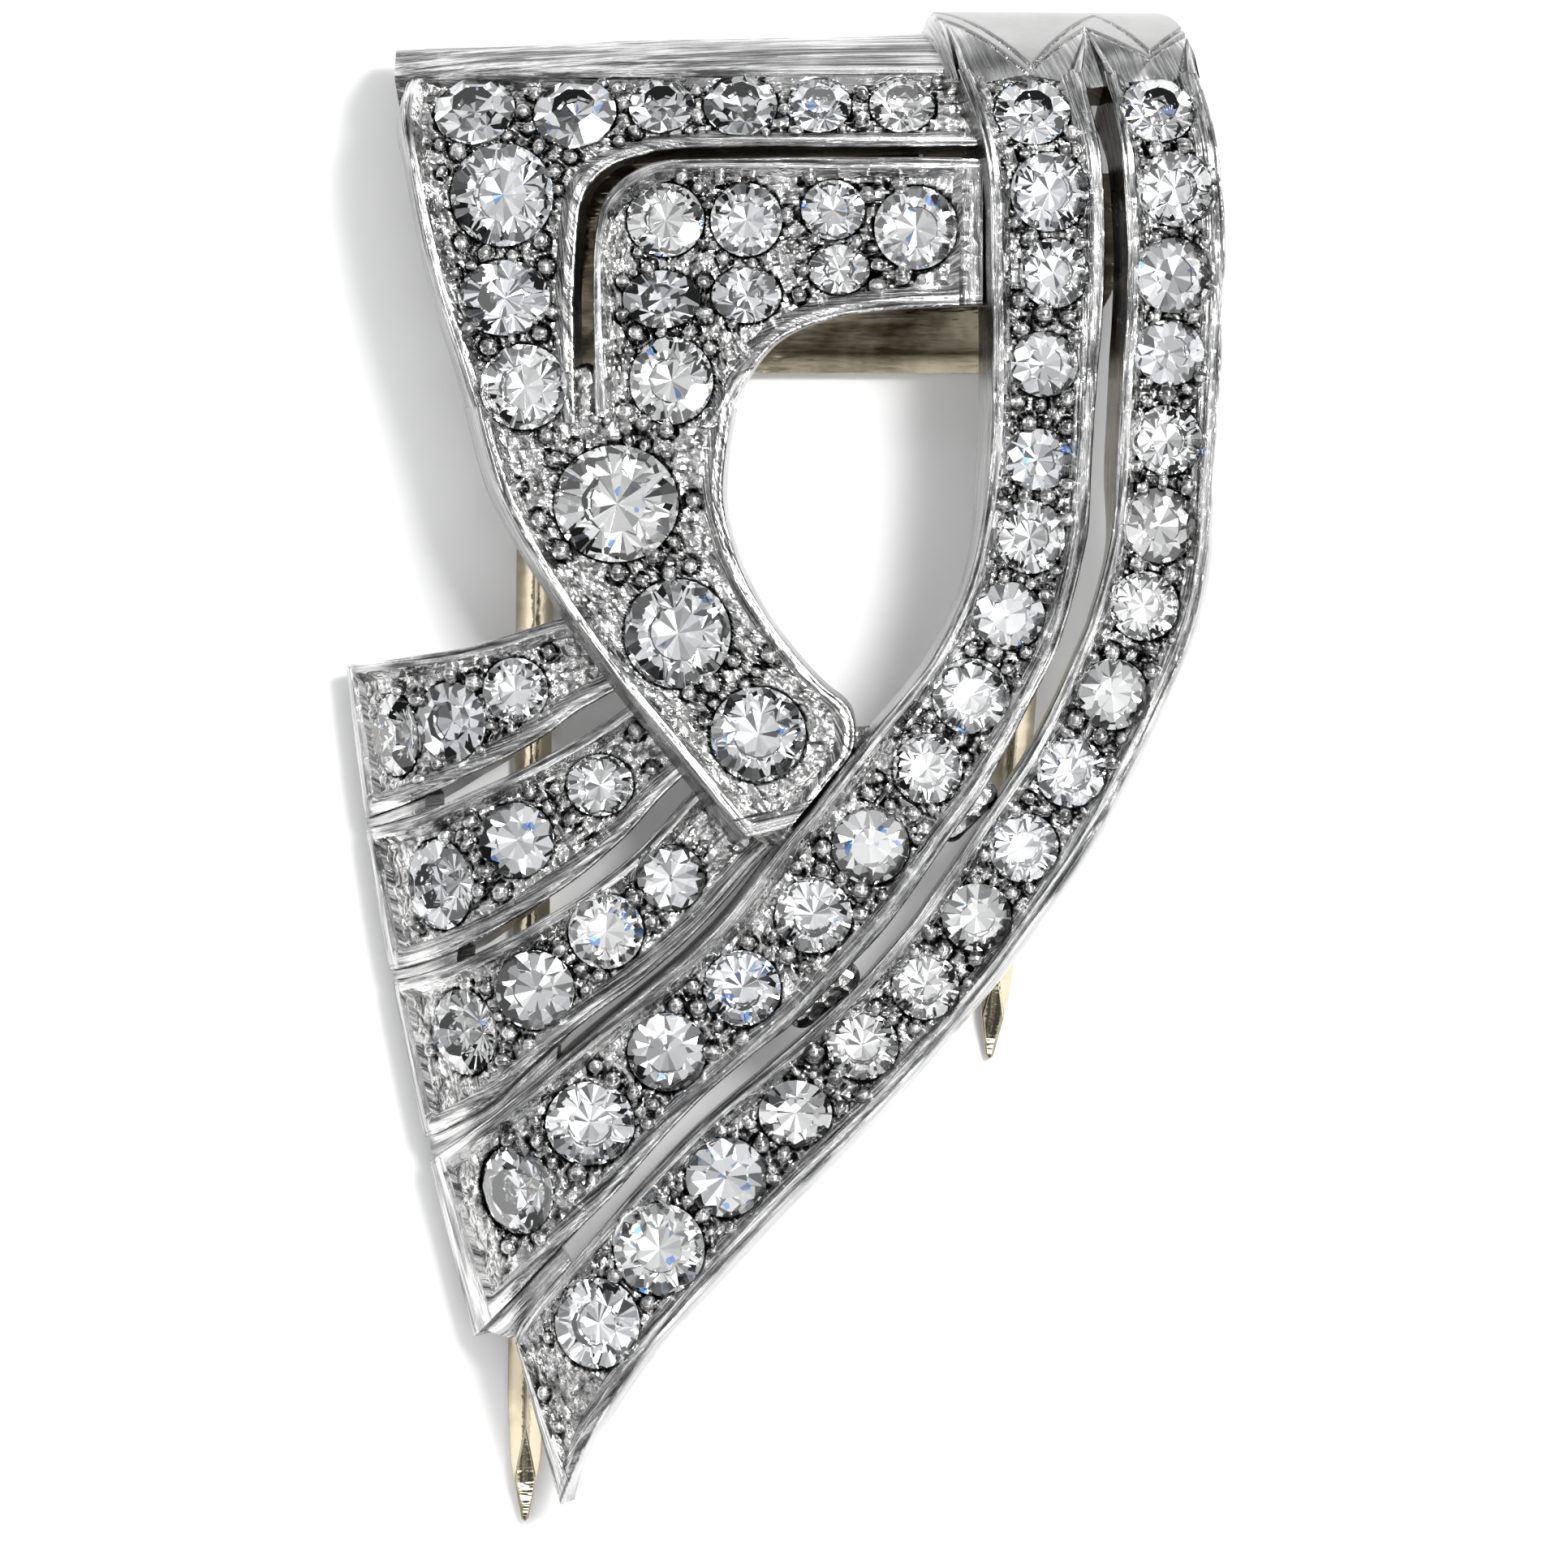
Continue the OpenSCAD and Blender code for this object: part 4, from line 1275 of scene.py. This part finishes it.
@dataclass
class EngravedCap(PlainPlate):
    """The plain cap over the ribbons' rolled top, with an engraved zigzag and bright facets below it."""

    outer_line: Sequence[Pair] = (
        (3.4, 21.3), (4.0, 20.8), (6.19, 17.96), (7.81, 20.6), (9.2, 18.48), (10.05, 19.65), (10.8, 18.4),
    )
    inner_line: Sequence[Pair] = (
        (3.4, 20.9), (4.04, 20.1), (6.11, 17.72), (7.58, 19.6), (9.16, 18.27), (10.17, 19.34), (10.9, 18.1),
    )
    groove_w: float = 0.062
    groove_d: float = 0.12
    facet_slope: float = 0.42
    facet_d: float = 0.55
    top_w: float = 6.6
    map_w: float = 6.3
    step: float = 0.035
    crease_deg: float = 16

    @staticmethod
    def off_line(line: Sequence[Pair], x: Array, v: Array) -> Array:
        """Distance of flat places from a zigzag line.

        Args:
            line: its corners.
            x: flat x of the places.
            v: flat v of the places.

        Returns:
            One distance a place, mm.
        """
        best = np.full(len(x), FAR)
        for (ax, av), (bx, bv) in zip(line[:-1], line[1:]):
            dx, dv = bx - ax, bv - av
            t = np.clip(((x - ax) * dx + (v - av) * dv) / (dx * dx + dv * dv), 0, 1)
            best = np.minimum(best, np.hypot(x - ax - t * dx, v - av - t * dv))
        return best

    def columns(self) -> Array:
        """The section's columns, once round it.

        Returns:
            Rows of the share of the width, the distance added to it, the height, and 1 on the top face.
        """
        h, p, t = WALL_H[self.sheet], PLATE_H[self.sheet], self.wall_t
        left, right = -self.spread[0], self.spread[1]
        table = [(0, left, -h, 0), (0, left * 0.7, -h / 2, 0), (0, left * 0.12, -0.1, 0)]
        table += [(q, 0, 0, 1) for q in np.linspace(0, 1, int(self.top_w / self.step))]
        table += [(1, right * 0.1, -0.1, 0), (1, right * 0.7, -h / 2, 0), (1, right, -h, 0)]
        table += [(1, right - t, -h, 0), (1, -t, -p, 0), (0, t, -p, 0), (0, t + left, -h, 0)]
        return np.array(table, float)

    def shape(self) -> BMesh:
        """Builds the cap's mesh.

        Returns:
            The mesh, with its grooves and facets cut, in mm.
        """
        table = self.columns()
        bm = bmesh.new()
        painted_hollow_shade = bm.verts.layers.float.new("painted_hollow_shade")
        s, c = lay_grid(bm, int(self.length() / self.step), len(table))
        share, add, height, top = table[c].T
        rows = self.section_at(s)
        x, v = (rows[:, :2] + (rows[:, 2:] - rows[:, :2]) * share[:, None]).T
        off = self.off_line(self.inner_line, x, v)
        nearest = np.minimum(off, self.off_line(self.outer_line, x, v))
        cut = self.groove_d * np.clip(1 - nearest / self.groove_w, 0, 1)
        below = v < np.interp(x, *np.array(self.inner_line).T)
        facet = np.where(below, np.minimum(self.facet_slope * off, self.facet_d), 0)
        z = height - np.where(top == 1, np.maximum(cut, facet), 0)
        grooved = cut > 0.02
        # painted shade: grooves across the facets are marked darker, and the graver-cut material paints that
        # shade into them
        for vert, tone in zip(bm.verts, np.where(facet > 0.02, 0.15 + 0.4 * grooved, 0)):
            vert[painted_hollow_shade] = tone
        for face in bm.faces:
            ids = [vert.index for vert in face.verts]
            bright = (facet[ids] > 0.015).all() or (cut[ids] > 0.01).all()
            on_top = WORKED_SLOT if grooved[ids].all() else 2 if bright else 0
            face.material_index = on_top if (top[ids] == 1).all() else 3
        points = self.spread_points(s, share, add, z)
        self._settle(bm, points, s * self.length(), share * self.map_w + add + z)
        return bm

    def worn(self, finishes: Finishes) -> tuple[Material, ...]:
        """The materials that it wears, by slot."""
        return finishes.satin, finishes.cut, finishes.facet, finishes.wall


# ---------------------------------------------------------------- the front's bands

INNER_RIBBON: Rows = (
    (4.35, 17.9, 7.5, 17.9), (4.7, 16.8, 7.7, 16.8), (5.0, 15.75, 7.9, 15.75),
    (5.15, 14.4, 8.03, 14.4), (5.18, 13, 8.05, 13), (5.2, 11.6, 8, 11.6),
    (5.22, 10.2, 7.88, 10.2), (5.2, 8.8, 7.78, 8.8), (5.1, 7.4, 7.7, 7.4),
    (4.9, 6, 7.6, 5.9), (4.63, 4.8, 7.25, 4.35), (4.2, 3.75, 6.85, 3.05),
    (3.6, 2.65, 6.2, 1.75), (2.9, 1.75, 5.6, 0.6), (2.15, 0.85, 4.95, -0.6),
    (1.45, -0.05, 4.2, -1.65), (0.75, -0.95, 3.4, -2.8), (0, -1.85, 2.45, -4.1),
    (-0.7, -2.75, 1.35, -5.25), (-1.5, -3.75, 0.2, -6.4), (-2.5, -4.75, -0.95, -7.3),
    (-3.7, -5.75, -2.1, -8.3), (-4.85, -6.65, -3.15, -9.4), (-5.95, -7.6, -4.3, -10.7),
    (-7.05, -8.5, -5.5, -11.9), (-8.1, -9.3, -6.6, -13.05), (-9.08, -10, -7.93, -14.45),
)
OUTER_RIBBON: Rows = (
    (8.05, 17.9, 10.4, 17.9), (8.27, 16.8, 10.7, 16.8), (8.45, 15.75, 10.9, 15.75),
    (8.57, 14.4, 11.05, 14.4), (8.63, 13, 11.1, 13), (8.6, 11.6, 11.05, 11.6),
    (8.5, 10.2, 11, 10.2), (8.43, 8.8, 10.9, 8.8), (8.35, 7.4, 10.8, 7.4),
    (8.22, 6, 10.68, 5.7), (7.97, 4.8, 10.45, 4.2), (7.65, 3.75, 10.1, 3.05),
    (7.22, 2.7, 9.6, 1.9), (6.75, 1.65, 9.05, 0.75), (6.2, 0.6, 8.45, -0.45),
    (5.5, -0.5, 7.8, -1.7), (4.75, -1.6, 7.05, -2.85), (3.95, -2.8, 6.2, -4),
    (3, -4.1, 5.2, -5.35), (1.9, -5.35, 4.05, -6.7), (0.65, -6.55, 2.85, -8.05),
    (-0.7, -7.7, 1.5, -9.45), (-2.05, -8.85, 0.15, -10.8), (-3.3, -10.1, -1.25, -12.25),
    (-4.5, -11.45, -2.5, -13.6), (-5.55, -12.65, -3.5, -14.75), (-6.3, -13.5, -4.35, -15.95),
    (-6.75, -14.15, -5.1, -17.2), (-6.88, -14.5, -5.72, -18.7),
)
OUTER_FOLD: Rows = (
    (5.2, 18.45, 5.2, 15.72), (2, 18.45, 2, 15.72), (-1.5, 18.45, -1.5, 15.72),
    (-3.8, 18.45, -2.9, 15.68), (-5.8, 18.45, -3.8, 15.46), (-7.8, 18.45, -4.5, 15.15),
    (-9.3, 18.4, -4.92, 14.76), (-9.68, 17.2, -5.12, 14.4), (-9.6, 15.9, -5.22, 14),
    (-9.35, 14.4, -5.3, 13), (-9, 12.8, -5.35, 12), (-8.6, 11.4, -5.35, 11.1),
    (-8.2, 10.2, -5.33, 10.2), (-7.75, 8.75, -5.3, 8.75),
)
INNER_FOLD: Rows = (
    (4.97, 15.4, 4.97, 11.7), (3.5, 15.42, 3.3, 11.65), (1.5, 15.42, 1.7, 11.48),
    (-0.5, 15.42, 0.75, 11.25), (-2.25, 15.4, -0.05, 10.9), (-3.1, 15.33, -0.6, 10.4),
    (-3.75, 15.12, -0.95, 9.9), (-4.3, 14.72, -1.2, 9.5), (-4.65, 14.2, -1.33, 9.25),
    (-4.82, 13.3, -1.42, 9.08), (-4.86, 12.2, -1.48, 8.93), (-4.86, 11, -1.54, 8.82),
    (-4.84, 9.8, -1.62, 8.72), (-4.8, 8.9, -1.85, 8.6),
)
LOWER_FOLD: Rows = (
    (-7.83, 9.15, -1.33, 9.12), (-7.52, 7.95, -1.52, 7.95), (-7.2, 6.95, -1.58, 6.75),
    (-6.72, 6, -1.3, 5.5), (-6.2, 5.1, -0.88, 4.5), (-5.65, 4.25, -0.35, 3.65),
    (-5, 3.3, 0.25, 2.85), (-4.25, 2.3, 0.95, 2.1), (-3.4, 1.25, 1.65, 1.45),
    (-2.5, 0.15, 1.7, 0.5), (-1.65, -0.9, 1.05, -0.35), (-0.95, -1.75, 0.15, -1.45),
)
RAY_1: Rows = (
    (-5.2, 3.95, -4.3, 2), (-6.2, 3.66, -5.2, 1.5), (-7.2, 3.35, -6.1, 0.85),
    (-8.2, 3.08, -7.1, 0.27), (-9.2, 2.9, -8.2, -0.22), (-10.2, 2.8, -9.35, -0.75),
    (-10.9, 2.72, -10.3, -1.1), (-11.2, 2.68, -10.72, -1.25),
)
RAY_2: Rows = (
    (-3.8, 1.75, -2, 0.3), (-4.7, 1.12, -2.95, -0.5), (-5.8, 0.47, -4.1, -1.75),
    (-6.95, -0.12, -5.4, -2.85), (-8.1, -0.63, -6.8, -3.75), (-9.3, -1.15, -8.2, -4.5),
    (-10.25, -1.42, -9.4, -4.95), (-10.7, -1.52, -10.1, -5.13),
)
RAY_3: Rows = (
    (-1.9, -0.1, -0.2, -1.9), (-2.65, -0.87, -0.85, -2.55), (-3.8, -2.1, -2.15, -4),
    (-5, -3.05, -3.6, -5.3), (-6.2, -3.8, -4.9, -6.25), (-7.4, -4.45, -6.15, -7.25),
    (-8.6, -5, -7.4, -8.4), (-9.55, -5.3, -8.6, -9.1), (-10.02, -5.4, -9.2, -9.38),
)
RAYS: Sequence[Rows] = (RAY_1, RAY_2, RAY_3)
TOP_CAP: Rows = (
    (3.7, 21.5, 9.4, 21.5), (3.85, 20.4, 9.8, 20.4), (4.05, 19.4, 10.1, 19.4),
    (4.2, 18.7, 10.3, 18.7), (4.35, 18.05, 10.4, 18.05), (4.42, 17.7, 10.45, 17.7),
)
JOIN_1: Rows = ((-9.2, -0.66, -9.2, -1.16), (-10.3, -1.08, -10.25, -1.44), (-10.78, -1.23, -10.76, -1.54))
JOIN_2: Rows = ((-8.35, -4.5, -8.4, -4.95), (-9.4, -4.92, -9.35, -5.28), (-10.13, -5.1, -10.05, -5.42))
JOIN_3: Rows = (
    (-5.75, -6.85, -5.85, -7.55), (-6.8, -7.8, -6.95, -8.45), (-7.4, -8.35, -7.6, -8.95),
    (-8.6, -9.05, -8.7, -9.75), (-9.2, -9.3, -9.12, -9.95),
)
JOIN_4: Rows = (
    (-5.7, -12.05, -5.4, -12.55), (-6.55, -12.95, -6.2, -13.45), (-7.2, -13.65, -6.7, -14.15),
    (-7.75, -14.25, -7.0, -14.45),
)
CAP_RIDGES: Sequence[Rows] = (
    ((4.37, 17.8, 4.63, 17.8), (4.22, 18.8, 4.42, 18.8), (4.0, 20.0, 4.1, 20.0)),
    ((7.22, 17.8, 7.48, 17.8), (7.42, 18.7, 7.57, 18.7), (7.53, 19.5, 7.57, 19.5)),
    ((8.07, 17.8, 8.33, 17.8), (7.8, 18.7, 7.97, 18.7), (7.6, 19.5, 7.65, 19.5)),
    ((10.12, 17.8, 10.4, 17.8), (10.1, 18.6, 10.28, 18.6), (10.12, 19.25, 10.17, 19.25)),
)
TOP_STRIP: Rows = ((5, 20.6, 5, 18.1), (0, 20.6, 0, 18.1), (-5, 20.6, -5, 18.1), (-9.9, 20.6, -9.9, 18.1))


@dataclass
class Webs:
    """The small soldered webs that tie the bands together.

    Each row is the surface, the depth below the rim, the radius, and the flat places it runs between.
    """

    rows: Sequence[tuple[Sheet, float, float, Pair, Pair]] = (
        (Sheet.RIBBON, 0.45, 0.36, (5.05, -0.75), (4.2, -1.6)),
        (Sheet.RIBBON, 1.1, 0.4, (1.5, -5.5), (0.4, -6.4)),
        (Sheet.PANEL, 0.45, 0.36, (-5.08, 9.9), (-5.08, 8.8)),
        (Sheet.PANEL, 1.1, 0.45, (-0.5, -1.5), (0.4, -1.8)),
        (Sheet.PANEL, 1.1, 0.45, (1.3, 0.5), (2.3, 0.6)),
    )
    sink: float = 0.12

    def build(self, finishes: Finishes) -> Piece:
        """Builds the webs.

        Args:
            finishes: the materials.

        Returns:
            One piece of rounded bars.
        """
        bm = bmesh.new()
        for sheet, depth, r, *run in self.rows:
            x, v = np.array(run).T
            p = FORM.place(sheet, x, v) - (depth + self.sink) * FORM.facing(sheet, x, v)
            a, b = (Vector(q) for q in p + np.array([CENTRE_SHIFT, 0, 0]))
            self._bar(bm, a, b, r)
        return finish_mesh(bm, "front_webs", (finishes.cut,), Way.SMOOTH)

    @staticmethod
    def _bar(bm: BMesh, a: Vector, b: Vector, r: float) -> None:
        """One bar: a ball drawn out between two places.

        Args:
            bm: the mesh that it joins.
            a: where it starts, mm.
            b: where it ends, mm.
            r: its radius, mm.
        """
        made = bmesh.ops.create_uvsphere(bm, u_segments=20, v_segments=12, radius=r)["verts"]
        way = (b - a).normalized()
        for vert in made:
            vert.co = vert.co + (b if vert.co.dot(way) > 0 else a)


@dataclass
class StoneCutter:
    """Cuts stones of unit radius from a blank, facet by facet."""

    table: float = 0.54
    crown: float = 0.32
    girdle: float = 0.05
    pavilion: float = 0.84
    blank_sides: int = 48
    blank_foot: float = 1.2
    mains: int = 8

    def _facet(self, bm: BMesh, low: Vector, high: Vector, azimuth: float) -> None:
        """Cuts one facet: the plane through two points of its own section, turned to its azimuth.

        Args:
            bm: the blank.
            low: the lower point, as radius and height.
            high: the upper point, as radius and height.
            azimuth: the facet's direction, radians.
        """
        run = (high - low).normalized()
        out = Vector((run.z, 0, -run.x))
        out = out if out.x > 0 else -out
        turn = Matrix.Rotation(azimuth, 3, "Z")
        geom = bm.verts[:] + bm.edges[:] + bm.faces[:]
        cut = bmesh.ops.bisect_plane(
            bm, geom=geom, dist=1e-6, plane_co=turn @ low, plane_no=turn @ out, clear_outer=True
        )
        edges = [e for e in cut["geom_cut"] if isinstance(e, bmesh.types.BMEdge)]
        if edges:
            bmesh.ops.holes_fill(bm, edges=[e for e in bm.edges if e.is_boundary], sides=0)

    def blank(self, cut: Cut) -> BMesh:
        """A stone of unit radius with its girdle's foot at the origin.

        Args:
            cut: how it is cut.

        Returns:
            Its mesh.
        """
        bm = bmesh.new()
        top = self.girdle + self.crown
        tall = top + self.blank_foot
        sides = self.blank_sides
        bmesh.ops.create_cone(bm, cap_ends=True, segments=sides, radius1=1, radius2=1, depth=tall)
        bmesh.ops.translate(bm, verts=bm.verts, vec=(0, 0, top - tall / 2))
        flat = self.table * math.cos(math.pi / self.mains)
        over, under = Vector((0.985, 0, self.girdle)), Vector((0.99, 0, -0.012))  # the girdle's edges
        for i in range(self.mains):
            a = math.tau * i / self.mains
            self._facet(bm, over, Vector((flat, 0, top)), a)
            self._facet(bm, Vector((0, 0, -self.pavilion)), under, a + math.pi / self.mains)
        if cut is Cut.FULL:
            for i in range(self.mains):
                star = Vector((flat + 0.16, 0, top - 0.07)), Vector((self.table - 0.02, 0, top))
                self._facet(bm, *star, math.tau * (i + 0.5) / self.mains)
            for i in range(2 * self.mains):
                a = math.tau * (i + 0.5) / (2 * self.mains)
                self._facet(bm, over, Vector((0.8, 0, top - 0.15)), a)
                self._facet(bm, Vector((0.35, 0, -self.pavilion * 0.62)), under, a)
        bmesh.ops.remove_doubles(bm, verts=bm.verts, dist=1e-4)
        bmesh.ops.recalc_face_normals(bm, faces=bm.faces)
        return bm


@dataclass
class StoneSet:
    """All the stones, each cut from a blank and put where its CAD solid is."""

    full_from: float = 2.1  # stones wider than this are full cut, mm
    full_share: float = 0.55  # how many of the others are
    lean: float = 0.03  # how far a stone may lean, radians

    def build(self, stones: Sequence[Stone], finishes: Finishes) -> list[Piece]:
        """Cuts and places the stones, one piece a node.

        Args:
            stones: all stones.
            finishes: the materials.

        Returns:
            The new pieces.
        """
        cutter = StoneCutter()
        blanks = {cut: bpy.data.meshes.new(f"blank_{cut.value}") for cut in Cut}
        for cut, mesh in blanks.items():
            bm = cutter.blank(cut)
            bm.to_mesh(mesh)
            bm.free()
        rng = np.random.default_rng(SEED)
        made = []
        for node in dict.fromkeys(s.node for s in stones):
            bm = bmesh.new()
            for stone in (s for s in stones if s.node == node):
                full = stone.r * 2 > self.full_from or rng.uniform() < self.full_share
                self._add(bm, blanks[Cut.FULL if full else Cut.SINGLE], stone, rng)
            piece = finish_mesh(bm, f"{node}_cut", (finishes.diamond,), Way.FLAT)
            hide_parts(node)
            made.append(piece)
        for mesh in blanks.values():
            bpy.data.meshes.remove(mesh)
        LOG.info("stones: %d pieces", len(made))
        return made

    def _add(self, bm: BMesh, blank: bpy.types.Mesh, stone: Stone, rng: Chance) -> None:
        """Adds one stone to a mesh.

        Args:
            bm: the mesh.
            blank: the cut stone of unit radius.
            stone: where it goes.
            rng: the source of chance.
        """
        before = len(bm.verts)
        bm.from_mesh(blank)
        bm.verts.ensure_lookup_table()
        spin = Matrix.Rotation(rng.uniform(0, math.tau), 4, "Z")
        tip, roll = (Matrix.Rotation(rng.uniform(-self.lean, self.lean), 4, axis) for axis in "XY")
        size = Matrix.Diagonal((stone.half_w, stone.half_l, stone.r, 1))
        axes = Matrix(np.array([stone.across, stone.along, stone.normal]).T.tolist()).to_4x4()
        place = Matrix.Translation(Vector(stone.centre)) @ axes @ tip @ roll @ size @ spin
        bmesh.ops.transform(bm, matrix=place, verts=bm.verts[before:])


@dataclass
class Front:
    """The soldered front: its bands, cap, strip and webs, standing for the CAD's frame."""

    bands: Sequence[Sweep] = (
        Band("outer_fold_band", Sheet.PANEL, OUTER_FOLD, (0.45, 0), -0.04, 1, rims=(False, False)),
        Band("inner_fold_band", Sheet.PANEL, INNER_FOLD, (0, 0), -0.06, 2, rims=(True, False), end_w=0.26),
        Band("lower_fold_band", Sheet.PANEL, LOWER_FOLD, (0.55, 0.05), 0.0, 3),
        *(Band(f"ray_{i}_band", Sheet.FAN, rows, seed=3 + i) for i, rows in enumerate(RAYS, 1)),
        Band("inner_ribbon_band", Sheet.RIBBON, INNER_RIBBON, (0.15, 0), 0.0, 7),
        Band("outer_ribbon_band", Sheet.RIBBON, OUTER_RIBBON, (0, 0.25), -0.03, 8, end_w=0.55, narrows=True),
        EngravedCap("ribbon_cap", Sheet.RIBBON, TOP_CAP, (0.65, 0.2), 0.04, 9),
        PlainPlate("panel_top_strip", Sheet.PANEL, TOP_STRIP, lift=0.03, seed=10),
        *(
            PlainPlate(name, sheet, rows, (0, 0), lift, seed, dress=Dress.RIM, across=across, plate_t=0.8)
            for name, sheet, rows, lift, seed, across in (
                ("ray_join_1", Sheet.FAN, JOIN_1, -0.09, 11, 8),
                ("ray_join_2", Sheet.FAN, JOIN_2, -0.09, 12, 8),
                ("ray_join_3", Sheet.FAN, JOIN_3, -0.12, 13, 10),
                ("ribbon_join", Sheet.RIBBON, JOIN_4, -0.12, 18, 10),
            )
        ),
        *(
            PlainPlate(
                f"cap_ridge_{i}", Sheet.RIBBON, rows, seed=13 + i,
                dress=Dress.RIM, across=8, plate_t=0.7, ridge=0.01,
            )
            for i, rows in enumerate(CAP_RIDGES, 1)
        ),
    )

    def build(self, stones: Sequence[Stone], finishes: Finishes) -> list[Piece]:
        """Builds the front's pieces.

        Args:
            stones: all stones.
            finishes: the materials.

        Returns:
            The new pieces.
        """
        made = [piece for band in self.bands for piece in band.build(stones, finishes)]
        made.append(Webs().build(finishes))
        for piece in made:
            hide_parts("front_frame")
        return made


@dataclass
class Lever:
    """The lever, its pin and its bracket: the CAD's own solids with softened edges and a finish."""

    bevel_mm: float = 0.12
    bevel_from_deg: float = 28
    segments: int = 3
    weld_m: float = 1e-6

    def dress(self, nodes: dict[str, Piece], finishes: Finishes) -> None:
        """Softens the edges of the three nodes and gives them their metal.

        Args:
            nodes: the CAD nodes.
            finishes: the materials.
        """
        worn = {"prong_lever": finishes.gold, "hinge_pin": finishes.gold, "hinge_bracket": finishes.painted_shade_bracket}
        for name, material in worn.items():
            obj = nodes[name]
            obj.data.materials.clear()
            obj.data.materials.append(material)
            weld = obj.modifiers.new("weld", "WELD")
            weld.merge_threshold = self.weld_m
            bevel = obj.modifiers.new("edges", "BEVEL")
            bevel.width = self.bevel_mm * MM
            bevel.segments = self.segments
            bevel.limit_method = "ANGLE"
            bevel.angle_limit = math.radians(self.bevel_from_deg)
            bevel.harden_normals = False
            for polygon in obj.data.polygons:
                polygon.use_smooth = True
            LOG.info("%s: dressed", name)


@dataclass
class Studio:
    """Paper, lights, world and camera."""

    view_w: float = 39.6
    centre: Pair = (0.01, -0.37)
    plane_z: float = 5.0
    distance: float = 450.0
    sensor_w: float = 36
    clip_end_m: float = 10
    paper_half: float = 260
    hood: Pair = (0.9, 0.97)  # the cover overhead starts between these heights
    dim_side: Pair = (-0.85, -0.15)  # the tent is dimmer from here to the left
    dimmest: float = 0.55
    tent_folds: tuple[Trio, Trio] = ((0.13, 0.133, 0.138), (1.5, 1.51, 1.53))
    cover_folds: tuple[Trio, Trio] = ((0.45, 0.452, 0.458), (1.12, 1.125, 1.135))
    world_strength: float = 0.76
    lights: Sequence[tuple[str, float, float, float, float, float, float]] = (
        # name, azimuth, elevation, distance mm, width mm, length mm, power W
        ("key_high", 38, 65, 260, 50, 50, 0.48),
        ("key_low", 28, 56, 260, 60, 60, 0.36),
        ("fill", 188, 24, 300, 200, 100, 0.065),
        ("over_ribbons", 318, 68, 300, 140, 140, 0.09),
        ("side", 330, 34, 280, 60, 40, 0.06),
        ("strip_left", 172, 53, 300, 14, 100, 0.034),
        ("strip_back", 80, 60, 300, 150, 12, 0.05),
        ("strip_front", 268, 48, 300, 150, 14, 0.06),
    )

    def build(self, finishes: Finishes) -> None:
        """Builds the studio.

        Args:
            finishes: the materials.
        """
        self._paper(finishes)
        self._lights()
        self._world()
        self._camera()

    def _paper(self, finishes: Finishes) -> None:
        """Lays the paper that the clip lies on.

        Args:
            finishes: the materials.
        """
        bm = bmesh.new()
        bmesh.ops.create_grid(bm, x_segments=2, y_segments=2, size=self.paper_half)
        paper = finish_mesh(bm, "paper_sweep", (finishes.paper,), Way.SMOOTH)

    def _lights(self) -> None:
        """Soft boxes round the clip: two keys at the upper right, a low fill, and strips for the edges."""
        for name, azimuth, elevation, distance, width, length, power in self.lights:
            data = bpy.data.lights.new(name, "AREA")
            data.shape = "RECTANGLE"
            data.size, data.size_y = width * MM, length * MM
            data.energy = power
            light = bpy.data.objects.new(name, data)
            a, e = math.radians(azimuth), math.radians(elevation)
            way = Vector((math.cos(a) * math.cos(e), math.sin(a) * math.cos(e), math.sin(e)))
            light.location = way * distance * MM
            light.rotation_euler = way.to_track_quat("Z", "Y").to_euler()
            bpy.context.scene.collection.objects.link(light)

    def _world(self) -> None:
        """A tent of folded cloth, bright and dark by turns and dimmer at the left, under a softer cover."""
        world = bpy.data.worlds.new("studio")
        world.use_nodes = True
        bpy.context.scene.world = world
        s = Shader.on(world.node_tree, "Background")
        way = s.add("ShaderNodeTexCoord", {}, {}, "Generated")
        tent = s.mix(s.noise(way, 3.4, 2, 0.5).ramp(0.42, 0.56), *self.tent_folds)
        lit = self.dimmest + (1 - self.dimmest) * s.axis(way, 0).ramp(*self.dim_side)
        cover = s.mix(s.noise(way, 7, 2, 0.5).ramp(0.4, 0.6), *self.cover_folds)
        overhead = s.axis(way, 2).ramp(*self.hood)
        colour = s.mix(overhead, s.mix(lit, (0, 0, 0), tent), cover)
        s.set(Color=colour, Strength=self.world_strength)

    def _camera(self) -> None:
        """A long lens straight above, framed as the photograph is."""
        data = bpy.data.cameras.new("camera")
        data.sensor_width = self.sensor_w
        data.lens = self.sensor_w * self.distance / self.view_w
        data.clip_end = self.clip_end_m
        camera = bpy.data.objects.new("camera", data)
        camera.location = (self.centre[0] * MM, self.centre[1] * MM, (self.plane_z + self.distance) * MM)
        bpy.context.scene.collection.objects.link(camera)
        bpy.context.scene.camera = camera
        bpy.context.scene.view_settings.view_transform = "Standard"


def main(frame: dict[str, Any]) -> None:
    """Builds every piece around the frame.
    """
    logging.basicConfig(level=logging.INFO, format="%(message)s")
    finishes = Finishes()
    reader = StoneReader()
    nodes = frame["nodes"]
    stones = [s for name, obj in sorted(nodes.items()) if "stone" in name for s in reader.read(name, obj)]
    LOG.info("stones read: %d", len(stones))
    pieces = Front().build(stones, finishes)
    cut = StoneSet().build(stones, finishes)
    Lever().dress(nodes, finishes)
    for piece in pieces + cut:
        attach(piece, "front")
    Studio().build(finishes)
    bpy.context.view_layer.update()


if __name__ == "__main__":
    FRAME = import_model()
    main(FRAME)
